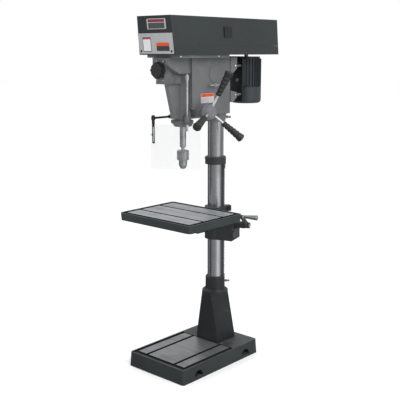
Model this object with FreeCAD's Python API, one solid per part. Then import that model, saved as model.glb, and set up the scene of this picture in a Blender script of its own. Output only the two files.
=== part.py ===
"""Floor-standing drill press, one STEP file for each separate piece. Millimetres, +Z up, -Y towards the operator.

The origin is on the floor, on the axis of the round column.
"""

import math
import os

import FreeCAD
import Part

V = FreeCAD.Vector
X_AXIS = V(1, 0, 0)
Y_AXIS = V(0, 1, 0)
Z_AXIS = V(0, 0, 1)

# ---------------------------------------------------------------- fits
RUN = 0.05  # radial clearance of a running fit
GAP = 0.3  # clearance between faces of pieces that move apart
LOOSE = 0.5  # clearance of a piece that passes freely through another
BACKLASH = 0.5  # side clearance of a gear tooth in its gap

# ---------------------------------------------------------------- column and stand
COLUMN_R = 39.5
COLUMN_WALL = 5.0
COLUMN_TOP = 1490.0
BASE_W = 368.0
BASE_FRONT = -436.0
BASE_BACK = 124.0
BASE_H = 72.6
BASE_DRAFT = 4.0
BASE_CORNER_R = 12.0
BASE_RIM = 8.0
BASE_TROUGH_DEPTH = 7.0
BASE_TROUGH_BACK = -60.0
BASE_PAD_FRONT = -398.0
BASE_PAD_BACK = -68.0
BASE_PAD_EDGE_X = 153.0
BASE_SLOT_X = 92.0
BASE_SLOT_W = 16.0
BASE_WALL = 14.0
BASE_POCKET_H = 40.0
BASE_POCKET_BACK = -72.0
BASE_RIB = 10.0
ANCHOR_X = 164.0
ANCHOR_Y = (-327.0, 27.0)
ANCHOR_HOLE_R = 7.0
ANCHOR_FOOT_H = 14.0
ANCHOR_ARCH_R = 30.0
ANCHOR_ARCH_DEPTH = 38.0
SLOT_NECK_H = 14.0
SLOT_HEAD_W = 26.0
SLOT_HEAD_H = 9.0

PEDESTAL_X = 75.0
PEDESTAL_Y = 67.0
PEDESTAL_SHIFT = 6.0
PLINTH_H = 18.0
PEDESTAL_TOP = 319.0
PEDESTAL_TOP_HALF = 64.0
PEDESTAL_TOP_CHAMFER = 36.0
PEDESTAL_WALL = 11.0
RING_R = 66.0
RING_H = 15.0
RING_STEP_R = 57.0
RING_STEP_H = 6.5
SLEEVE_R = 49.5
SLEEVE_TOP = 407.4
SLEEVE_BEVEL = 6.0
PEDESTAL_BOLT_R = 6.0
PEDESTAL_BOLT_X = 59.0
PEDESTAL_BOLT_Y = 51.0
PEDESTAL_BOLT_GRIP = 20.0
BOLT_HEAD_SPACE = 3.0

SET_SCREW_R = 4.0
SET_SCREW_OUT = 24.0
SET_SCREW_NUT_AF = 14.0
PEDESTAL_SCREW_Z = 376.0
SCREW_ANGLES = (42.0, 132.0)
COLLAR_SCREW_ANGLE = 222.0

COLLAR_R = 52.0
COLLAR_Z = 982.0
COLLAR_H = 38.0
COLLAR_SKIRT_H = 18.0

# ---------------------------------------------------------------- table lift
LIFT_ANGLE = 18.0  # direction of the rack and crank round the column, from +X towards +Y
RACK_MODULE = 2.5
RACK_PITCH = math.pi * RACK_MODULE
RACK_THICK = 10.0
RACK_W = 17.0
RACK_END = 12.0
LIFT_TEETH = 12
LIFT_UP_PITCHES = 24
LIFT_DOWN_PITCHES = 20
WORM_Z = 682.0
WORM_R = 10.0
WORM_HALF_L = 11.0
WORM_RELIEF = 0.4
RACK_FLANK_ANGLE = 20.0
WORM_SHAFT_R = 9.0
PINION_FACE = 14.0

BRACKET_R = 54.0
BRACKET_Z = 604.0
BRACKET_TOP = 767.0
HOUSING_END = 109.0
HOUSING_HALF_W = 49.0
HOUSING_TOP = 704.0
WORM_BOSS_R = 17.5
WORM_BOSS_END = 160.0
COVER_PLATE_T = 6.0
LUG_ANGLE = 60.0
LUG_END = 80.0
LUG_W = 26.0
LUG_Z = 738.0
LUG_SPLIT = 4.0
LOCK_BOLT_R = 6.0
LOCK_LEVER_L = 95.0

CRANK_HUB_R = 15.0
CRANK_HUB_L = 24.0
CRANK_REACH = -87.0
CRANK_RISE = 62.0
CRANK_ARM_T = 10.0
CRANK_PIN_R = 4.0
HANDLE_L = 76.0
HANDLE_R_IN = 7.5
HANDLE_R_OUT = 12.5  # ---------------------------------------------------------------- table
TABLE_W = 460.0
TABLE_FRONT = -440.0
TABLE_BACK = -70.0
TABLE_TOP = 769.6
TABLE_EDGE = 36.7
TABLE_CORNER_R = 17.0
TABLE_DRAFT = 2.0
TABLE_RIM = 7.0
TABLE_TROUGH_W = 20.0
TABLE_TROUGH_DEPTH = 7.0
TABLE_PLATE = 11.0
TABLE_WALL = 9.0
TABLE_SLOT_OFFSET = 68.0
TABLE_SLOT_W = 14.0
TABLE_SLOT_NECK_H = 12.0
TABLE_SLOT_HEAD_W = 24.0
TABLE_SLOT_HEAD_H = 8.0
TABLE_SLOT_RIB_W = 40.0
TABLE_RIB = 10.0
TILT_Z = 683.0
TILT_DISC_R = 36.0
TILT_JOINT_Y = -118.0
TILT_DISC_T = 22.0
TILT_BOLT_R = 10.0
ARM_HALF_W = 32.0
ARM_HALF_H = 32.0  # ---------------------------------------------------------------- head
THROAT = 236.5
SPINDLE_Y = -THROAT
HEAD_HALF_W = 60.0
HEAD_BACK = 56.0
HEAD_BACK_CHAMFER = 20.0
HEAD_BOTTOM = 1232.0
HEAD_TOP = 1501.0
HEAD_RECESS_Y = -160.0
HEAD_RECESS_Z = 1264.0
HEAD_RECESS_HALF_W = 32.0
SOCKET_BOTTOM = 1193.0
SOCKET_R_TOP = 53.0
SOCKET_R_BOTTOM = 47.0
FLANGE_HALF_W = 102.0
FLANGE_FRONT = -364.0
FLANGE_BACK = -20.0
FLANGE_H = 13.0
QUILL_HOUSING_R = 40.0
QUILL_HOUSING_TOP = 1430.0
QUILL_HOUSING_BOTTOM = 1213.0
NOSE_HALF_W = 50.0
NOSE_FRONT = -382.0
NOSE_BREAK = -310.0
NOSE_LOW_FRONT = 1467.0
WEB_HALF_W = 12.0
WEB_FRONT_TOP = -347.0
WEB_FRONT_BOTTOM = -303.0
WEB_BOTTOM = 1222.0
HOLLOW_HALF_W = 34.0
HOLLOW_FRONT = -175.0
HOLLOW_BACK = -54.0
BAR_X = 48.0
BAR_Z = (1461.0, 1320.0)
BAR_R = 8.0
BAR_FRONT = -110.0
EAR_BACK = 84.0
EAR_HALF_H = 22.0
EAR_TIP_HALF_H = 13.0
EAR_TAPER = 12.0
SIDE_BOSS_Y = -80.0
SIDE_BOSS_Z = 1424.0
SIDE_BOSS_R = 38.0
SIDE_BOSS_T = 2.0
HEAD_SCREW_Z = 1213.0
STOP_X = 55.0
STOP_Y = -266.0
STOP_ROD_R = 5.0
STOP_LUG_R = 12.0
STOP_LUG_H = 24.0
STOP_ROD_TOP = 1428.0
STOP_ROD_BOTTOM = 1166.0
STOP_NUT_R = 9.0
STOP_NUT_H = 11.0
STOP_NUT_Z = 1400.0

BOX_HALF_W = 26.0
BOX_FRONT = -380.0
BOX_BACK = -270.0
BOX_BOTTOM = 1384.0
BOX_TOP = 1466.0
BOX_FACE_TOP = 1492.0
BOX_WALL = 4.0
BOX_FACE_T = 3.0
KNOB_R = 38.0
KNOB_T = 26.0
KNOB_LOBES = 7
KNOB_Z = 1446.0
BOX_SCREW_X = 20.0
BOX_SCREW_R = 3.5

LOCK_Y = -92.0
LOCK_Z = 1373.0
LOCK_HUB_R = 9.0
LOCK_HUB_L = 22.0
LOCK_BAR_L = 70.0
LOCK_BAR_R = 4.0

# ---------------------------------------------------------------- quill, feed and spindle
QUILL_R = 30.0
QUILL_TOP = 1400.0
QUILL_BOTTOM = 1184.0
FEED_MODULE = 1.5
FEED_TEETH = 20
FEED_PITCHES = 17
PINION_Z = 1255.6
PINION_HALF_L = 13.0
PINION_SHAFT_R = 9.0
BOSS_R = 28.0
BOSS_END = 95.0
HUB_CENTRE = 131.0
HUB_R = 38.0
HUB_BORE = 50.0
ROD_CONE = 23.3
ROD_START_ANGLE = 76.3
ROD_COUNT = 3
ROD_R = 6.0
ROD_ROOT = 22.0
GRIP_START = 82.0
GRIP_END = 198.0
GRIP_R_IN = 9.0
GRIP_R_OUT = 19.0
SPRING_CUP_R = 33.0
SPRING_CUP_L = 28.0
SPRING_TURNS = 4
SPRING_STRIP = 1.0
SPRING_PITCH = 3.6
SPINDLE_R = 15.0
SPINDLE_JOURNAL_R = 12.5
SPINDLE_BOTTOM = 1086.0
SPINDLE_SPLINE_R = 8.5
SPINDLE_TOP = 1596.0
QUILL_BEARING_R = 23.0
BEARING_H = 14.0
TAPER_R = 8.9
TAPER_R_END = 7.4
TAPER_L = 64.0
DRIFT_SLOT_W = 6.0
DRIFT_SLOT_L = 26.0
COLLAR_TOP_R = 50.0
COLLAR_LOW_R = 44.0
QUILL_COLLAR_H = 28.4
COLLAR_STEP_H = 12.0

CHUCK_BOTTOM = 985.0
CHUCK_TOP = 1072.0
CHUCK_BODY_R = 25.6
CHUCK_NOSE_R = 19.5
CHUCK_NOSE_TIP_R = 12.5
CHUCK_MOUTH_R = 9.0
CHUCK_SLEEVE_R = 28.5
CHUCK_SLEEVE_Z = 1025.0
CHUCK_SLEEVE_H = 45.0
CHUCK_FLUTES = 18
CHUCK_NECK_R = 8.0
JAW_ANGLE = 13.0
JAW_R = 3.6
JAW_L = 48.0
JAW_TIP_OFFSET = 5.6
JAW_TIP_DROP = 3.0
JAW_OPEN_R = 4.0  # half of the drill size that the jaws are set to
JAW_FLANK_ANGLE = 58.0
JAW_BORE_L = 66.0
JAW_COUNT = 3
CHUCK_LIP_H = 2.0

# ---------------------------------------------------------------- guard
GUARD_PIN_X = -75.0
GUARD_PIN_Y = -357.0
GUARD_ARM_Z = 1226.0
GUARD_ARM_R = 5.0
GUARD_ARM_BACK = -238.0
GUARD_PIN_R = 4.5
GUARD_PIN_TOP = 1237.0
GUARD_PIN_BOTTOM = 1206.0
GUARD_BAR_W = 14.0
GUARD_BAR_T = 3.0
GUARD_BAR_BOTTOM = 1108.0
GUARD_SLOT_W = 6.0
GUARD_SLOT_TOP = 1184.0
GUARD_SLOT_BOTTOM = 1116.0
SHIELD_TOP = 1197.0
SHIELD_BOTTOM = 990.0
SHIELD_T = 3.0
SHIELD_FLANGE_HALF = 22.0
SHIELD_L = 206.0
SHIELD_ANGLE = 30.0

# ---------------------------------------------------------------- belt drive and motor
PULLEY_BOTTOM = 1540.0
PULLEY_STEP_H = 16.0
SPINDLE_STEPS = (86.0, 72.0, 58.0, 44.0)  # from the lowest step up
MOTOR_STEPS = (44.0, 58.0, 72.0, 86.0)
BELT_STEP = 1
BELT_T = 8.0
BELT_H = 11.0
PULLEY_LIP = 1.0
SLEEVE_BORE_R = 9.0
DRIVE_SLEEVE_R = 14.0
DRIVE_SLEEVE_BOTTOM = 1446.0
DRIVE_BEARING_R = 26.0
DRIVE_BEARING_Z = (1450.0, 1492.0)
SPLINES = 6
MOTOR_Y = 235.0
MOTOR_R = 70.0
MOTOR_FIN_R = 77.0
MOTOR_FINS = 30
MOTOR_FIN_T = 2.6
MOTOR_TOP = 1504.0
MOTOR_FIN_TOP = 1494.0
MOTOR_FIN_BOTTOM = 1356.0
MOTOR_WALL = 8.0
MOTOR_END_WALL = 10.0
FAN_COVER_TOP = 1354.0
FAN_COVER_BOTTOM = 1272.0
FAN_COVER_WALL = 2.5
FAN_COVER_ROUND = 16.0
FAN_R = 62.0
FAN_BLADES = 8
SHAFT_R = 10.0
PLATE_Y = 130.0
PLATE_T = 10.0
PLATE_HALF_W = 60.0
PLATE_BOTTOM = 1286.0
PLATE_TOP = 1506.0
FOOT_HALF_W = 48.0
MOUNT_BOLT_X = 32.0
MOUNT_BOLT_Z = (1389.0, 1470.0)
MOUNT_BOLT_R = 5.0
TENSION_TRAVEL = 20.0
TERMINAL_W = 36.0
TERMINAL_L = 90.0
TERMINAL_H = 80.0
TERMINAL_Z = 1390.0
TERMINAL_WALL = 3.0
GLAND_R = 11.0
GLAND_BORE_R = 5.5

# ---------------------------------------------------------------- belt cover
COVER_HALF_W = 116.0
COVER_FRONT = -402.0
COVER_BACK = 355.6
COVER_BOTTOM = 1514.0
COVER_TOP = 1685.0
COVER_SEAM = 1557.0
COVER_LEAN_SIDE = 10.4
COVER_LEAN_FRONT = 23.5
COVER_LEAN_BACK = 3.9
COVER_WALL = 2.5
COVER_CORNER_R = 5.0
HINGE_R = 4.5
HINGE_PIN_R = 2.0
HINGE_HALF_L = 210.0
HINGE_KNUCKLES = 7
PANEL_HALF_W = 107.0
PANEL_BOTTOM = 1519.0
PANEL_TOP = 1609.0
PANEL_T = 1.6
PANEL_STAND_OFF = 0.5
LATCH_Y = -44.0
LATCH_HALF_W = 27.0
LATCH_BOTTOM = 1594.0
LATCH_TOP = 1643.0
LATCH_T = 4.0
LATCH_FRAME = 7.0


# ---------------------------------------------------------------- shape helpers
def box(x0, x1, y0, y1, z0, z1):
    return Part.makeBox(x1 - x0, y1 - y0, z1 - z0, V(x0, y0, z0))


def rod(radius, start, direction, length):
    return Part.makeCylinder(radius, length, start, direction)


def post(radius, z0, z1, x=0.0, y=0.0):
    """A cylinder standing on (x, y) from z0 to z1."""
    return rod(radius, V(x, y, z0), Z_AXIS, z1 - z0)


def frustum(r0, r1, z0, z1, x=0.0, y=0.0):
    return Part.makeCone(r0, r1, z1 - z0, V(x, y, z0), Z_AXIS)


def fuse(shapes):
    return shapes[0].multiFuse(list(shapes[1:])).removeSplitter()


def cut(shape, tools):
    return shape.cut(Part.makeCompound(list(tools)))


def prism(points, direction):
    """A closed outline of straight edges, pushed along direction."""
    wire = Part.makePolygon([*points, points[0]])
    return Part.Face(wire).extrude(direction)


def turned(profile, start, direction):
    """A (distance, radius) profile turned about the line from start along direction."""
    points = [V(r, 0, s) for s, r in profile]
    face = Part.Face(Part.makePolygon([*points, points[0]]))
    solid = face.revolve(V(0, 0, 0), Z_AXIS, 360)
    solid.Placement = FreeCAD.Placement(start, FreeCAD.Rotation(Z_AXIS, direction))
    return solid


def rounded_wire(x0, x1, y0, y1, r, z):
    """A rectangle with round corners, at height z."""
    k = r * (1 - math.sqrt(0.5))
    lines = [
        (V(x0 + r, y0, z), V(x1 - r, y0, z)),
        (V(x1, y0 + r, z), V(x1, y1 - r, z)),
        (V(x1 - r, y1, z), V(x0 + r, y1, z)),
        (V(x0, y1 - r, z), V(x0, y0 + r, z)),
    ]
    middles = [V(x1 - k, y0 + k, z), V(x1 - k, y1 - k, z), V(x0 + k, y1 - k, z), V(x0 + k, y0 + k, z)]
    edges = []
    for n in range(4):
        edges.append(Part.LineSegment(*lines[n]).toShape())
        edges.append(Part.Arc(lines[n][1], middles[n], lines[(n + 1) % 4][0]).toShape())
    return Part.Wire(edges)


def tapered_block(low, high, r, z0, z1):
    """A round-cornered block whose (x0, x1, y0, y1) changes from low at z0 to high at z1."""
    return Part.makeLoft([rounded_wire(*low, r, z0), rounded_wire(*high, r, z1)], True, True)


def chamfered_wire(x, y0, y1, c, z):
    """A rectangle from -x to x and y0 to y1 with its corners cut by c."""
    points = [
        V(-x + c, y0, z),
        V(x - c, y0, z),
        V(x, y0 + c, z),
        V(x, y1 - c, z),
        V(x - c, y1, z),
        V(-x + c, y1, z),
        V(-x, y1 - c, z),
        V(-x, y0 + c, z),
    ]
    return Part.makePolygon([*points, points[0]])


def on_arm(angle, along, across=0.0, z=0.0):
    """The point that lies along a radius of the column, and across it, at height z."""
    a = math.radians(angle)
    return V(along * math.cos(a) - across * math.sin(a), along * math.sin(a) + across * math.cos(a), z)


def on_lift(shape):
    """Turn a shape from the +X side of the column to the rack's side."""
    shape.rotate(V(0, 0, 0), Z_AXIS, LIFT_ANGLE)
    return shape


def hex_prism(across_flats, start, direction, height):
    radius = across_flats / math.sqrt(3)
    points = [V(radius * math.cos(k * math.pi / 3), radius * math.sin(k * math.pi / 3), 0) for k in range(6)]
    solid = prism(points, V(0, 0, height))
    solid.Placement = FreeCAD.Placement(start, FreeCAD.Rotation(Z_AXIS, direction))
    return solid


def bolt(radius, start, direction, length, head_h):
    """A hexagon bolt: its shank starts at start and its head stands behind start."""
    back = start - direction * head_h
    head = hex_prism(radius * 3.4, back, direction, head_h)
    return fuse([head, rod(radius, start, direction, length)])


def gear(module, teeth, face_width):
    """A spur gear on the Z axis with straight-sided teeth, one of which points along +X."""
    pitch_r = module * teeth / 2
    root = pitch_r - 1.25 * module
    tip = pitch_r + module
    half = math.pi * module / 4 - BACKLASH / 2
    tooth = prism(
        [
            V(root - module, -half - 0.4 * module, 0),
            V(tip, -half + 0.45 * module, 0),
            V(tip, half - 0.45 * module, 0),
            V(root - module, half + 0.4 * module, 0),
        ],
        V(0, 0, face_width),
    )
    ring = []
    for n in range(teeth):
        copy = tooth.copy()
        copy.rotate(V(0, 0, 0), Z_AXIS, 360 * n / teeth)
        ring.append(copy)
    return fuse([rod(root, V(0, 0, 0), Z_AXIS, face_width), *ring])


def rack_gaps(module, surface, depth_dir, centre, count, half_width):
    """The wedges that cut a rack's gaps: each opens at surface and narrows along depth_dir, which is +X or -X or +-Y."""
    side = Z_AXIS.cross(depth_dir)
    half = math.pi * module / 4 + BACKLASH / 2
    deep = 2.3 * module
    gaps = []
    for n in range(-count, count + 1):
        middle = surface + Z_AXIS * (centre + n * math.pi * module)
        start = middle - side * half_width
        points = [
            start - depth_dir * module - Z_AXIS * (half + 0.8 * module),
            start + depth_dir * deep - Z_AXIS * (half - 0.5 * module),
            start + depth_dir * deep + Z_AXIS * (half - 0.5 * module),
            start - depth_dir * module + Z_AXIS * (half + 0.8 * module),
        ]
        gaps.append(prism(points, side * (2 * half_width)))
    return gaps


def t_slot(along_x, centre, start, end, top, neck_w, neck_h, head_w, head_h):
    """An undercut clamping slot that runs from start to end, as the pieces to cut away."""
    over = 1.0
    spans = [(neck_w, top - neck_h, top + over), (head_w, top - neck_h - head_h, top - neck_h)]
    pieces = []
    for width, z0, z1 in spans:
        if along_x:
            pieces.append(box(start, end, centre - width / 2, centre + width / 2, z0, z1))
        else:
            pieces.append(box(centre - width / 2, centre + width / 2, start, end, z0, z1))
    return pieces


def export(name, shape):
    shape.exportStep(f"parts/{name}.step")


# ---------------------------------------------------------------- stand
def base():
    half = BASE_W / 2
    top = (-half + BASE_DRAFT, half - BASE_DRAFT, BASE_FRONT + BASE_DRAFT, BASE_BACK - BASE_DRAFT)
    body = tapered_block((-half, half, BASE_FRONT, BASE_BACK), top, BASE_CORNER_R, 0, BASE_H)
    floor = BASE_H - BASE_TROUGH_DEPTH
    trough = box(top[0] + BASE_RIM, top[1] - BASE_RIM, top[2] + BASE_RIM, BASE_TROUGH_BACK, floor, BASE_H + 1)
    pads = [box(-BASE_PAD_EDGE_X, BASE_PAD_EDGE_X, BASE_PAD_FRONT, BASE_PAD_BACK, floor, BASE_H + 1)]
    slots = []
    for side in (-1, 1):
        slots += t_slot(
            False, side * BASE_SLOT_X, BASE_PAD_FRONT, BASE_PAD_BACK, BASE_H,
            BASE_SLOT_W, SLOT_NECK_H, SLOT_HEAD_W, SLOT_HEAD_H,
        )
    anchors = []
    blocks = []
    for y in ANCHOR_Y:
        for side in (-1, 1):
            arch = rod(ANCHOR_ARCH_R, V(side * (half + 5), y, ANCHOR_FOOT_H), V(-side, 0, 0), ANCHOR_ARCH_DEPTH + 5)
            upper = box(-half - 6, half + 6, y - ANCHOR_ARCH_R, y + ANCHOR_ARCH_R, ANCHOR_FOOT_H, BASE_H)
            anchors += [arch.common(upper), post(ANCHOR_HOLE_R, -1, ANCHOR_FOOT_H + 1, side * ANCHOR_X, y)]
            inner = half - ANCHOR_ARCH_DEPTH - BASE_RIB
            span = ANCHOR_ARCH_R + BASE_RIB
            x0, x1 = sorted((side * inner, side * half))
            blocks.append(box(x0, x1, y - span, y + span, -1, BASE_H))
    pockets = []
    x0 = -half + BASE_WALL
    y0 = BASE_FRONT + BASE_WALL
    step_x = (BASE_W - 2 * BASE_WALL + BASE_RIB) / 3
    step_y = (BASE_POCKET_BACK - y0 + BASE_RIB) / 3
    for i in range(3):
        for j in range(3):
            left = x0 + i * step_x
            low = y0 + j * step_y
            pockets.append(box(left, left + step_x - BASE_RIB, low, low + step_y - BASE_RIB, -1, BASE_POCKET_H))
    hollow = cut(Part.makeCompound(pockets), blocks)
    bolts = []
    for x, y in pedestal_bolt_places():
        bolts.append(post(2.2 * PEDESTAL_BOLT_R, -1, BASE_POCKET_H, x, y))
        bolts.append(post(PEDESTAL_BOLT_R + LOOSE, BASE_POCKET_H - 1, BASE_H + 1, x, y))
    return cut(body, [cut(trough, pads), *slots, *anchors, hollow, *bolts])


def pedestal_bolt_places():
    return [(i * PEDESTAL_BOLT_X, PEDESTAL_SHIFT + j * PEDESTAL_BOLT_Y) for i in (-1, 1) for j in (-1, 1)]


def pedestal_shell(offset, z0, z1):
    """The tapered trunk of the pedestal, from a rectangle at its foot to an octagon at its top."""
    low = chamfered_wire(
        PEDESTAL_X - offset, PEDESTAL_SHIFT - PEDESTAL_Y + offset, PEDESTAL_SHIFT + PEDESTAL_Y - offset, 4.0, z0
    )
    half = PEDESTAL_TOP_HALF - offset
    high = chamfered_wire(half, -half, half, PEDESTAL_TOP_CHAMFER - 0.6 * offset, z1)
    return Part.makeLoft([low, high], True, True)


def pedestal():
    foot = BASE_H + PLINTH_H
    plinth = Part.Face(
        chamfered_wire(PEDESTAL_X, PEDESTAL_SHIFT - PEDESTAL_Y, PEDESTAL_SHIFT + PEDESTAL_Y, 4.0, BASE_H)
    ).extrude(V(0, 0, PLINTH_H))
    ring_top = PEDESTAL_TOP + RING_H
    step_top = ring_top + RING_STEP_H
    pieces = [
        plinth,
        pedestal_shell(0, foot, PEDESTAL_TOP),
        post(RING_R, PEDESTAL_TOP, ring_top - 3),
        frustum(RING_R, RING_R - 3, ring_top - 3, ring_top),
        frustum(RING_STEP_R, RING_STEP_R - 3, ring_top, step_top),
        post(SLEEVE_R, step_top, SLEEVE_TOP - SLEEVE_BEVEL),
        frustum(SLEEVE_R, SLEEVE_R - SLEEVE_BEVEL, SLEEVE_TOP - SLEEVE_BEVEL, SLEEVE_TOP),
    ]
    body = fuse(pieces)
    hollow_top = PEDESTAL_TOP - PEDESTAL_WALL
    kept = [post(SLEEVE_R, BASE_H - 2, hollow_top + 1)]
    kept += [post(2.5 * PEDESTAL_BOLT_R, BASE_H - 2, foot + 10, x, y) for x, y in pedestal_bolt_places()]
    hollow = cut(pedestal_shell(PEDESTAL_WALL, BASE_H - 1, hollow_top), kept)
    holes = [post(PEDESTAL_BOLT_R + RUN, BASE_H - 1, BASE_H + PEDESTAL_BOLT_GRIP + 2, x, y) for x, y in pedestal_bolt_places()]
    screws = [screw_hole(a, PEDESTAL_SCREW_Z, SLEEVE_R) for a in SCREW_ANGLES]
    return cut(body, [post(COLUMN_R + RUN, BASE_H - 1, SLEEVE_TOP + 1), hollow, *holes, *screws])


def pedestal_bolts():
    length = BASE_H - BASE_POCKET_H + PEDESTAL_BOLT_GRIP
    head_h = 8.0
    return Part.makeCompound(
        [bolt(PEDESTAL_BOLT_R, V(x, y, BASE_POCKET_H), Z_AXIS, length, head_h) for x, y in pedestal_bolt_places()]
    )


def screw_hole(angle, z, outer):
    start = on_arm(angle, COLUMN_R - 1, 0, z)
    return rod(SET_SCREW_R + RUN, start, on_arm(angle, 1), outer - COLUMN_R + 12)


def set_screw(angle, z, outer):
    """A radial locking screw with its jam nut, standing out of a sleeve of radius outer."""
    direction = on_arm(angle, 1)
    shank = rod(SET_SCREW_R, on_arm(angle, COLUMN_R + 0.2, 0, z), direction, outer + SET_SCREW_OUT - 10 - COLUMN_R)
    nut = hex_prism(SET_SCREW_NUT_AF, on_arm(angle, outer + 2.5, 0, z), direction, 7)
    head = rod(SET_SCREW_R + 1.5, on_arm(angle, outer + SET_SCREW_OUT - 10, 0, z), direction, 10)
    return fuse([shank, nut, head])


def column_set_screws():
    screws = [set_screw(a, PEDESTAL_SCREW_Z, SLEEVE_R) for a in SCREW_ANGLES]
    screws += [set_screw(a, HEAD_SCREW_Z, SOCKET_R_TOP - 3) for a in SCREW_ANGLES]
    start = on_arm(COLLAR_SCREW_ANGLE, COLUMN_R + 0.2, 0, COLLAR_Z + COLLAR_H - 10)
    screws.append(rod(SET_SCREW_R, start, on_arm(COLLAR_SCREW_ANGLE, 1), COLLAR_R - COLUMN_R + 3))
    return Part.makeCompound(screws)


def column_tube():
    return post(COLUMN_R, BASE_H, COLUMN_TOP).cut(post(COLUMN_R - COLUMN_WALL, BASE_H - 1, COLUMN_TOP + 1))


def upper_collar():
    body = fuse([post(COLLAR_R, COLLAR_Z, COLLAR_Z + COLLAR_H - 4), frustum(
        COLLAR_R, COLLAR_R - 4, COLLAR_Z + COLLAR_H - 4, COLLAR_Z + COLLAR_H)])
    skirt = post(math.hypot(RACK_FACE, RACK_W / 2) + LOOSE, COLLAR_Z - 1, COLLAR_Z + COLLAR_SKIRT_H)
    screw = screw_hole(COLLAR_SCREW_ANGLE, COLLAR_Z + COLLAR_H - 10, COLLAR_R)
    return cut(body, [post(COLUMN_R + RUN, COLLAR_Z - 1, COLLAR_Z + COLLAR_H + 1), skirt, screw])


# ---------------------------------------------------------------- table lift
RACK_BACK = COLUMN_R + GAP
RACK_FACE = COLUMN_R + RACK_THICK
PINION_AXIS = RACK_FACE - RACK_MODULE + RACK_MODULE * LIFT_TEETH / 2
LIFT_PINION_Z = WORM_Z - WORM_R - RACK_MODULE * LIFT_TEETH / 2


def lift_rack():
    z0 = SLEEVE_TOP + GAP
    z1 = COLLAR_Z + COLLAR_SKIRT_H - GAP
    bar = box(COLUMN_R - 5, RACK_FACE, -RACK_W / 2, RACK_W / 2, z0, z1)
    count_down = int((LIFT_PINION_Z - z0 - RACK_END) / RACK_PITCH)
    count_up = int((z1 - LIFT_PINION_Z - RACK_END - COLLAR_SKIRT_H) / RACK_PITCH)
    middle = LIFT_PINION_Z + (count_up - count_down) // 2 * RACK_PITCH
    count = (count_up + count_down) // 2
    surface = V(RACK_FACE, 0, 0)
    gaps = rack_gaps(RACK_MODULE, surface, V(-1, 0, 0), middle, count, RACK_W)
    return on_lift(cut(bar, [post(RACK_BACK, z0 - 1, z1 + 1), *gaps]))


def bracket_lug(side):
    """One ear of the clamp that grips the column; side is the side of the split that it is on."""
    a0, a1 = sorted((side * LUG_SPLIT / 2, side * (LUG_SPLIT / 2 + LUG_W / 2)))
    ear = box(COLUMN_R + 4, LUG_END, a0, a1, LUG_Z, BRACKET_TOP)
    ear.rotate(V(0, 0, 0), Z_AXIS, LUG_ANGLE)
    return ear


def table_bracket():
    collar = post(BRACKET_R, BRACKET_Z, BRACKET_TOP)
    housing = box(0, HOUSING_END, -HOUSING_HALF_W, HOUSING_HALF_W, BRACKET_Z, HOUSING_TOP)
    boss = rod(WORM_BOSS_R, V(HOUSING_END - 5, 0, WORM_Z), X_AXIS, WORM_BOSS_END - HOUSING_END + 5)
    arm_back = -COLUMN_R
    arm = box(-ARM_HALF_W, ARM_HALF_W, TILT_JOINT_Y + TILT_DISC_T, arm_back, TILT_Z - ARM_HALF_H, TILT_Z + ARM_HALF_H)
    disc = rod(TILT_DISC_R, V(0, TILT_JOINT_Y + GAP / 2, TILT_Z), Y_AXIS, TILT_DISC_T)
    body = fuse([collar, on_lift(fuse([housing, boss])), arm, disc, bracket_lug(-1), bracket_lug(1)])
    rack_way = box(0, RACK_FACE + LOOSE, -RACK_W / 2 - LOOSE, RACK_W / 2 + LOOSE, BRACKET_Z - 1, BRACKET_TOP + 1)
    tip = RACK_MODULE * (LIFT_TEETH / 2 + 1)
    pinion_room = rod(tip + 1, V(PINION_AXIS, -PINION_FACE / 2 - 1, LIFT_PINION_Z), Y_AXIS, PINION_FACE + 2)
    pinion_pin = rod(5 + RUN, V(PINION_AXIS, -HOUSING_HALF_W + 8, LIFT_PINION_Z), Y_AXIS, 2 * HOUSING_HALF_W - 16)
    worm_room = rod(WORM_R + RACK_MODULE + 1, V(0, 0, WORM_Z), X_AXIS, PINION_AXIS + WORM_HALF_L + 1)
    shaft_way = rod(WORM_SHAFT_R + RUN, V(PINION_AXIS, 0, WORM_Z), X_AXIS, WORM_BOSS_END - PINION_AXIS + 1)
    ways = on_lift(Part.makeCompound([rack_way, pinion_room, pinion_pin, worm_room, shaft_way]))
    column_way = post(COLUMN_R + RUN, BRACKET_Z - 1, BRACKET_TOP + 1)
    pivot_hole = rod(TILT_BOLT_R + RUN, V(0, TILT_JOINT_Y - 1, TILT_Z), Y_AXIS, TILT_DISC_T + 30)
    split = box(COLUMN_R - 2, LUG_END + 1, -LUG_SPLIT / 2, LUG_SPLIT / 2, LUG_Z - 1, BRACKET_TOP + 1)
    split.rotate(V(0, 0, 0), Z_AXIS, LUG_ANGLE)
    bolt_start = on_arm(LUG_ANGLE, lock_bolt_along(), -LUG_W, lock_bolt_z())
    bolt_way = rod(LOCK_BOLT_R + RUN, bolt_start, on_arm(LUG_ANGLE, 0, 1), 2 * LUG_W)
    return cut(body, [column_way, ways, pivot_hole, split, bolt_way])


def lock_bolt_along():
    return LUG_END - LOCK_BOLT_R - 6


def lock_bolt_z():
    return (LUG_Z + BRACKET_TOP) / 2


def gear_housing_cover():
    plate = box(
        HOUSING_END, HOUSING_END + COVER_PLATE_T, -HOUSING_HALF_W + 4, HOUSING_HALF_W - 4,
        BRACKET_Z + 4, WORM_Z - WORM_BOSS_R - 2,
    )
    return on_lift(plate)


def tilt_pivot_bolt():
    head_h = 13.0
    start = V(0, TILT_JOINT_Y - GAP / 2 - TILT_DISC_T, TILT_Z)
    return bolt(TILT_BOLT_R, start - Y_AXIS * GAP, Y_AXIS, 2 * TILT_DISC_T + 20, head_h)


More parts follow.
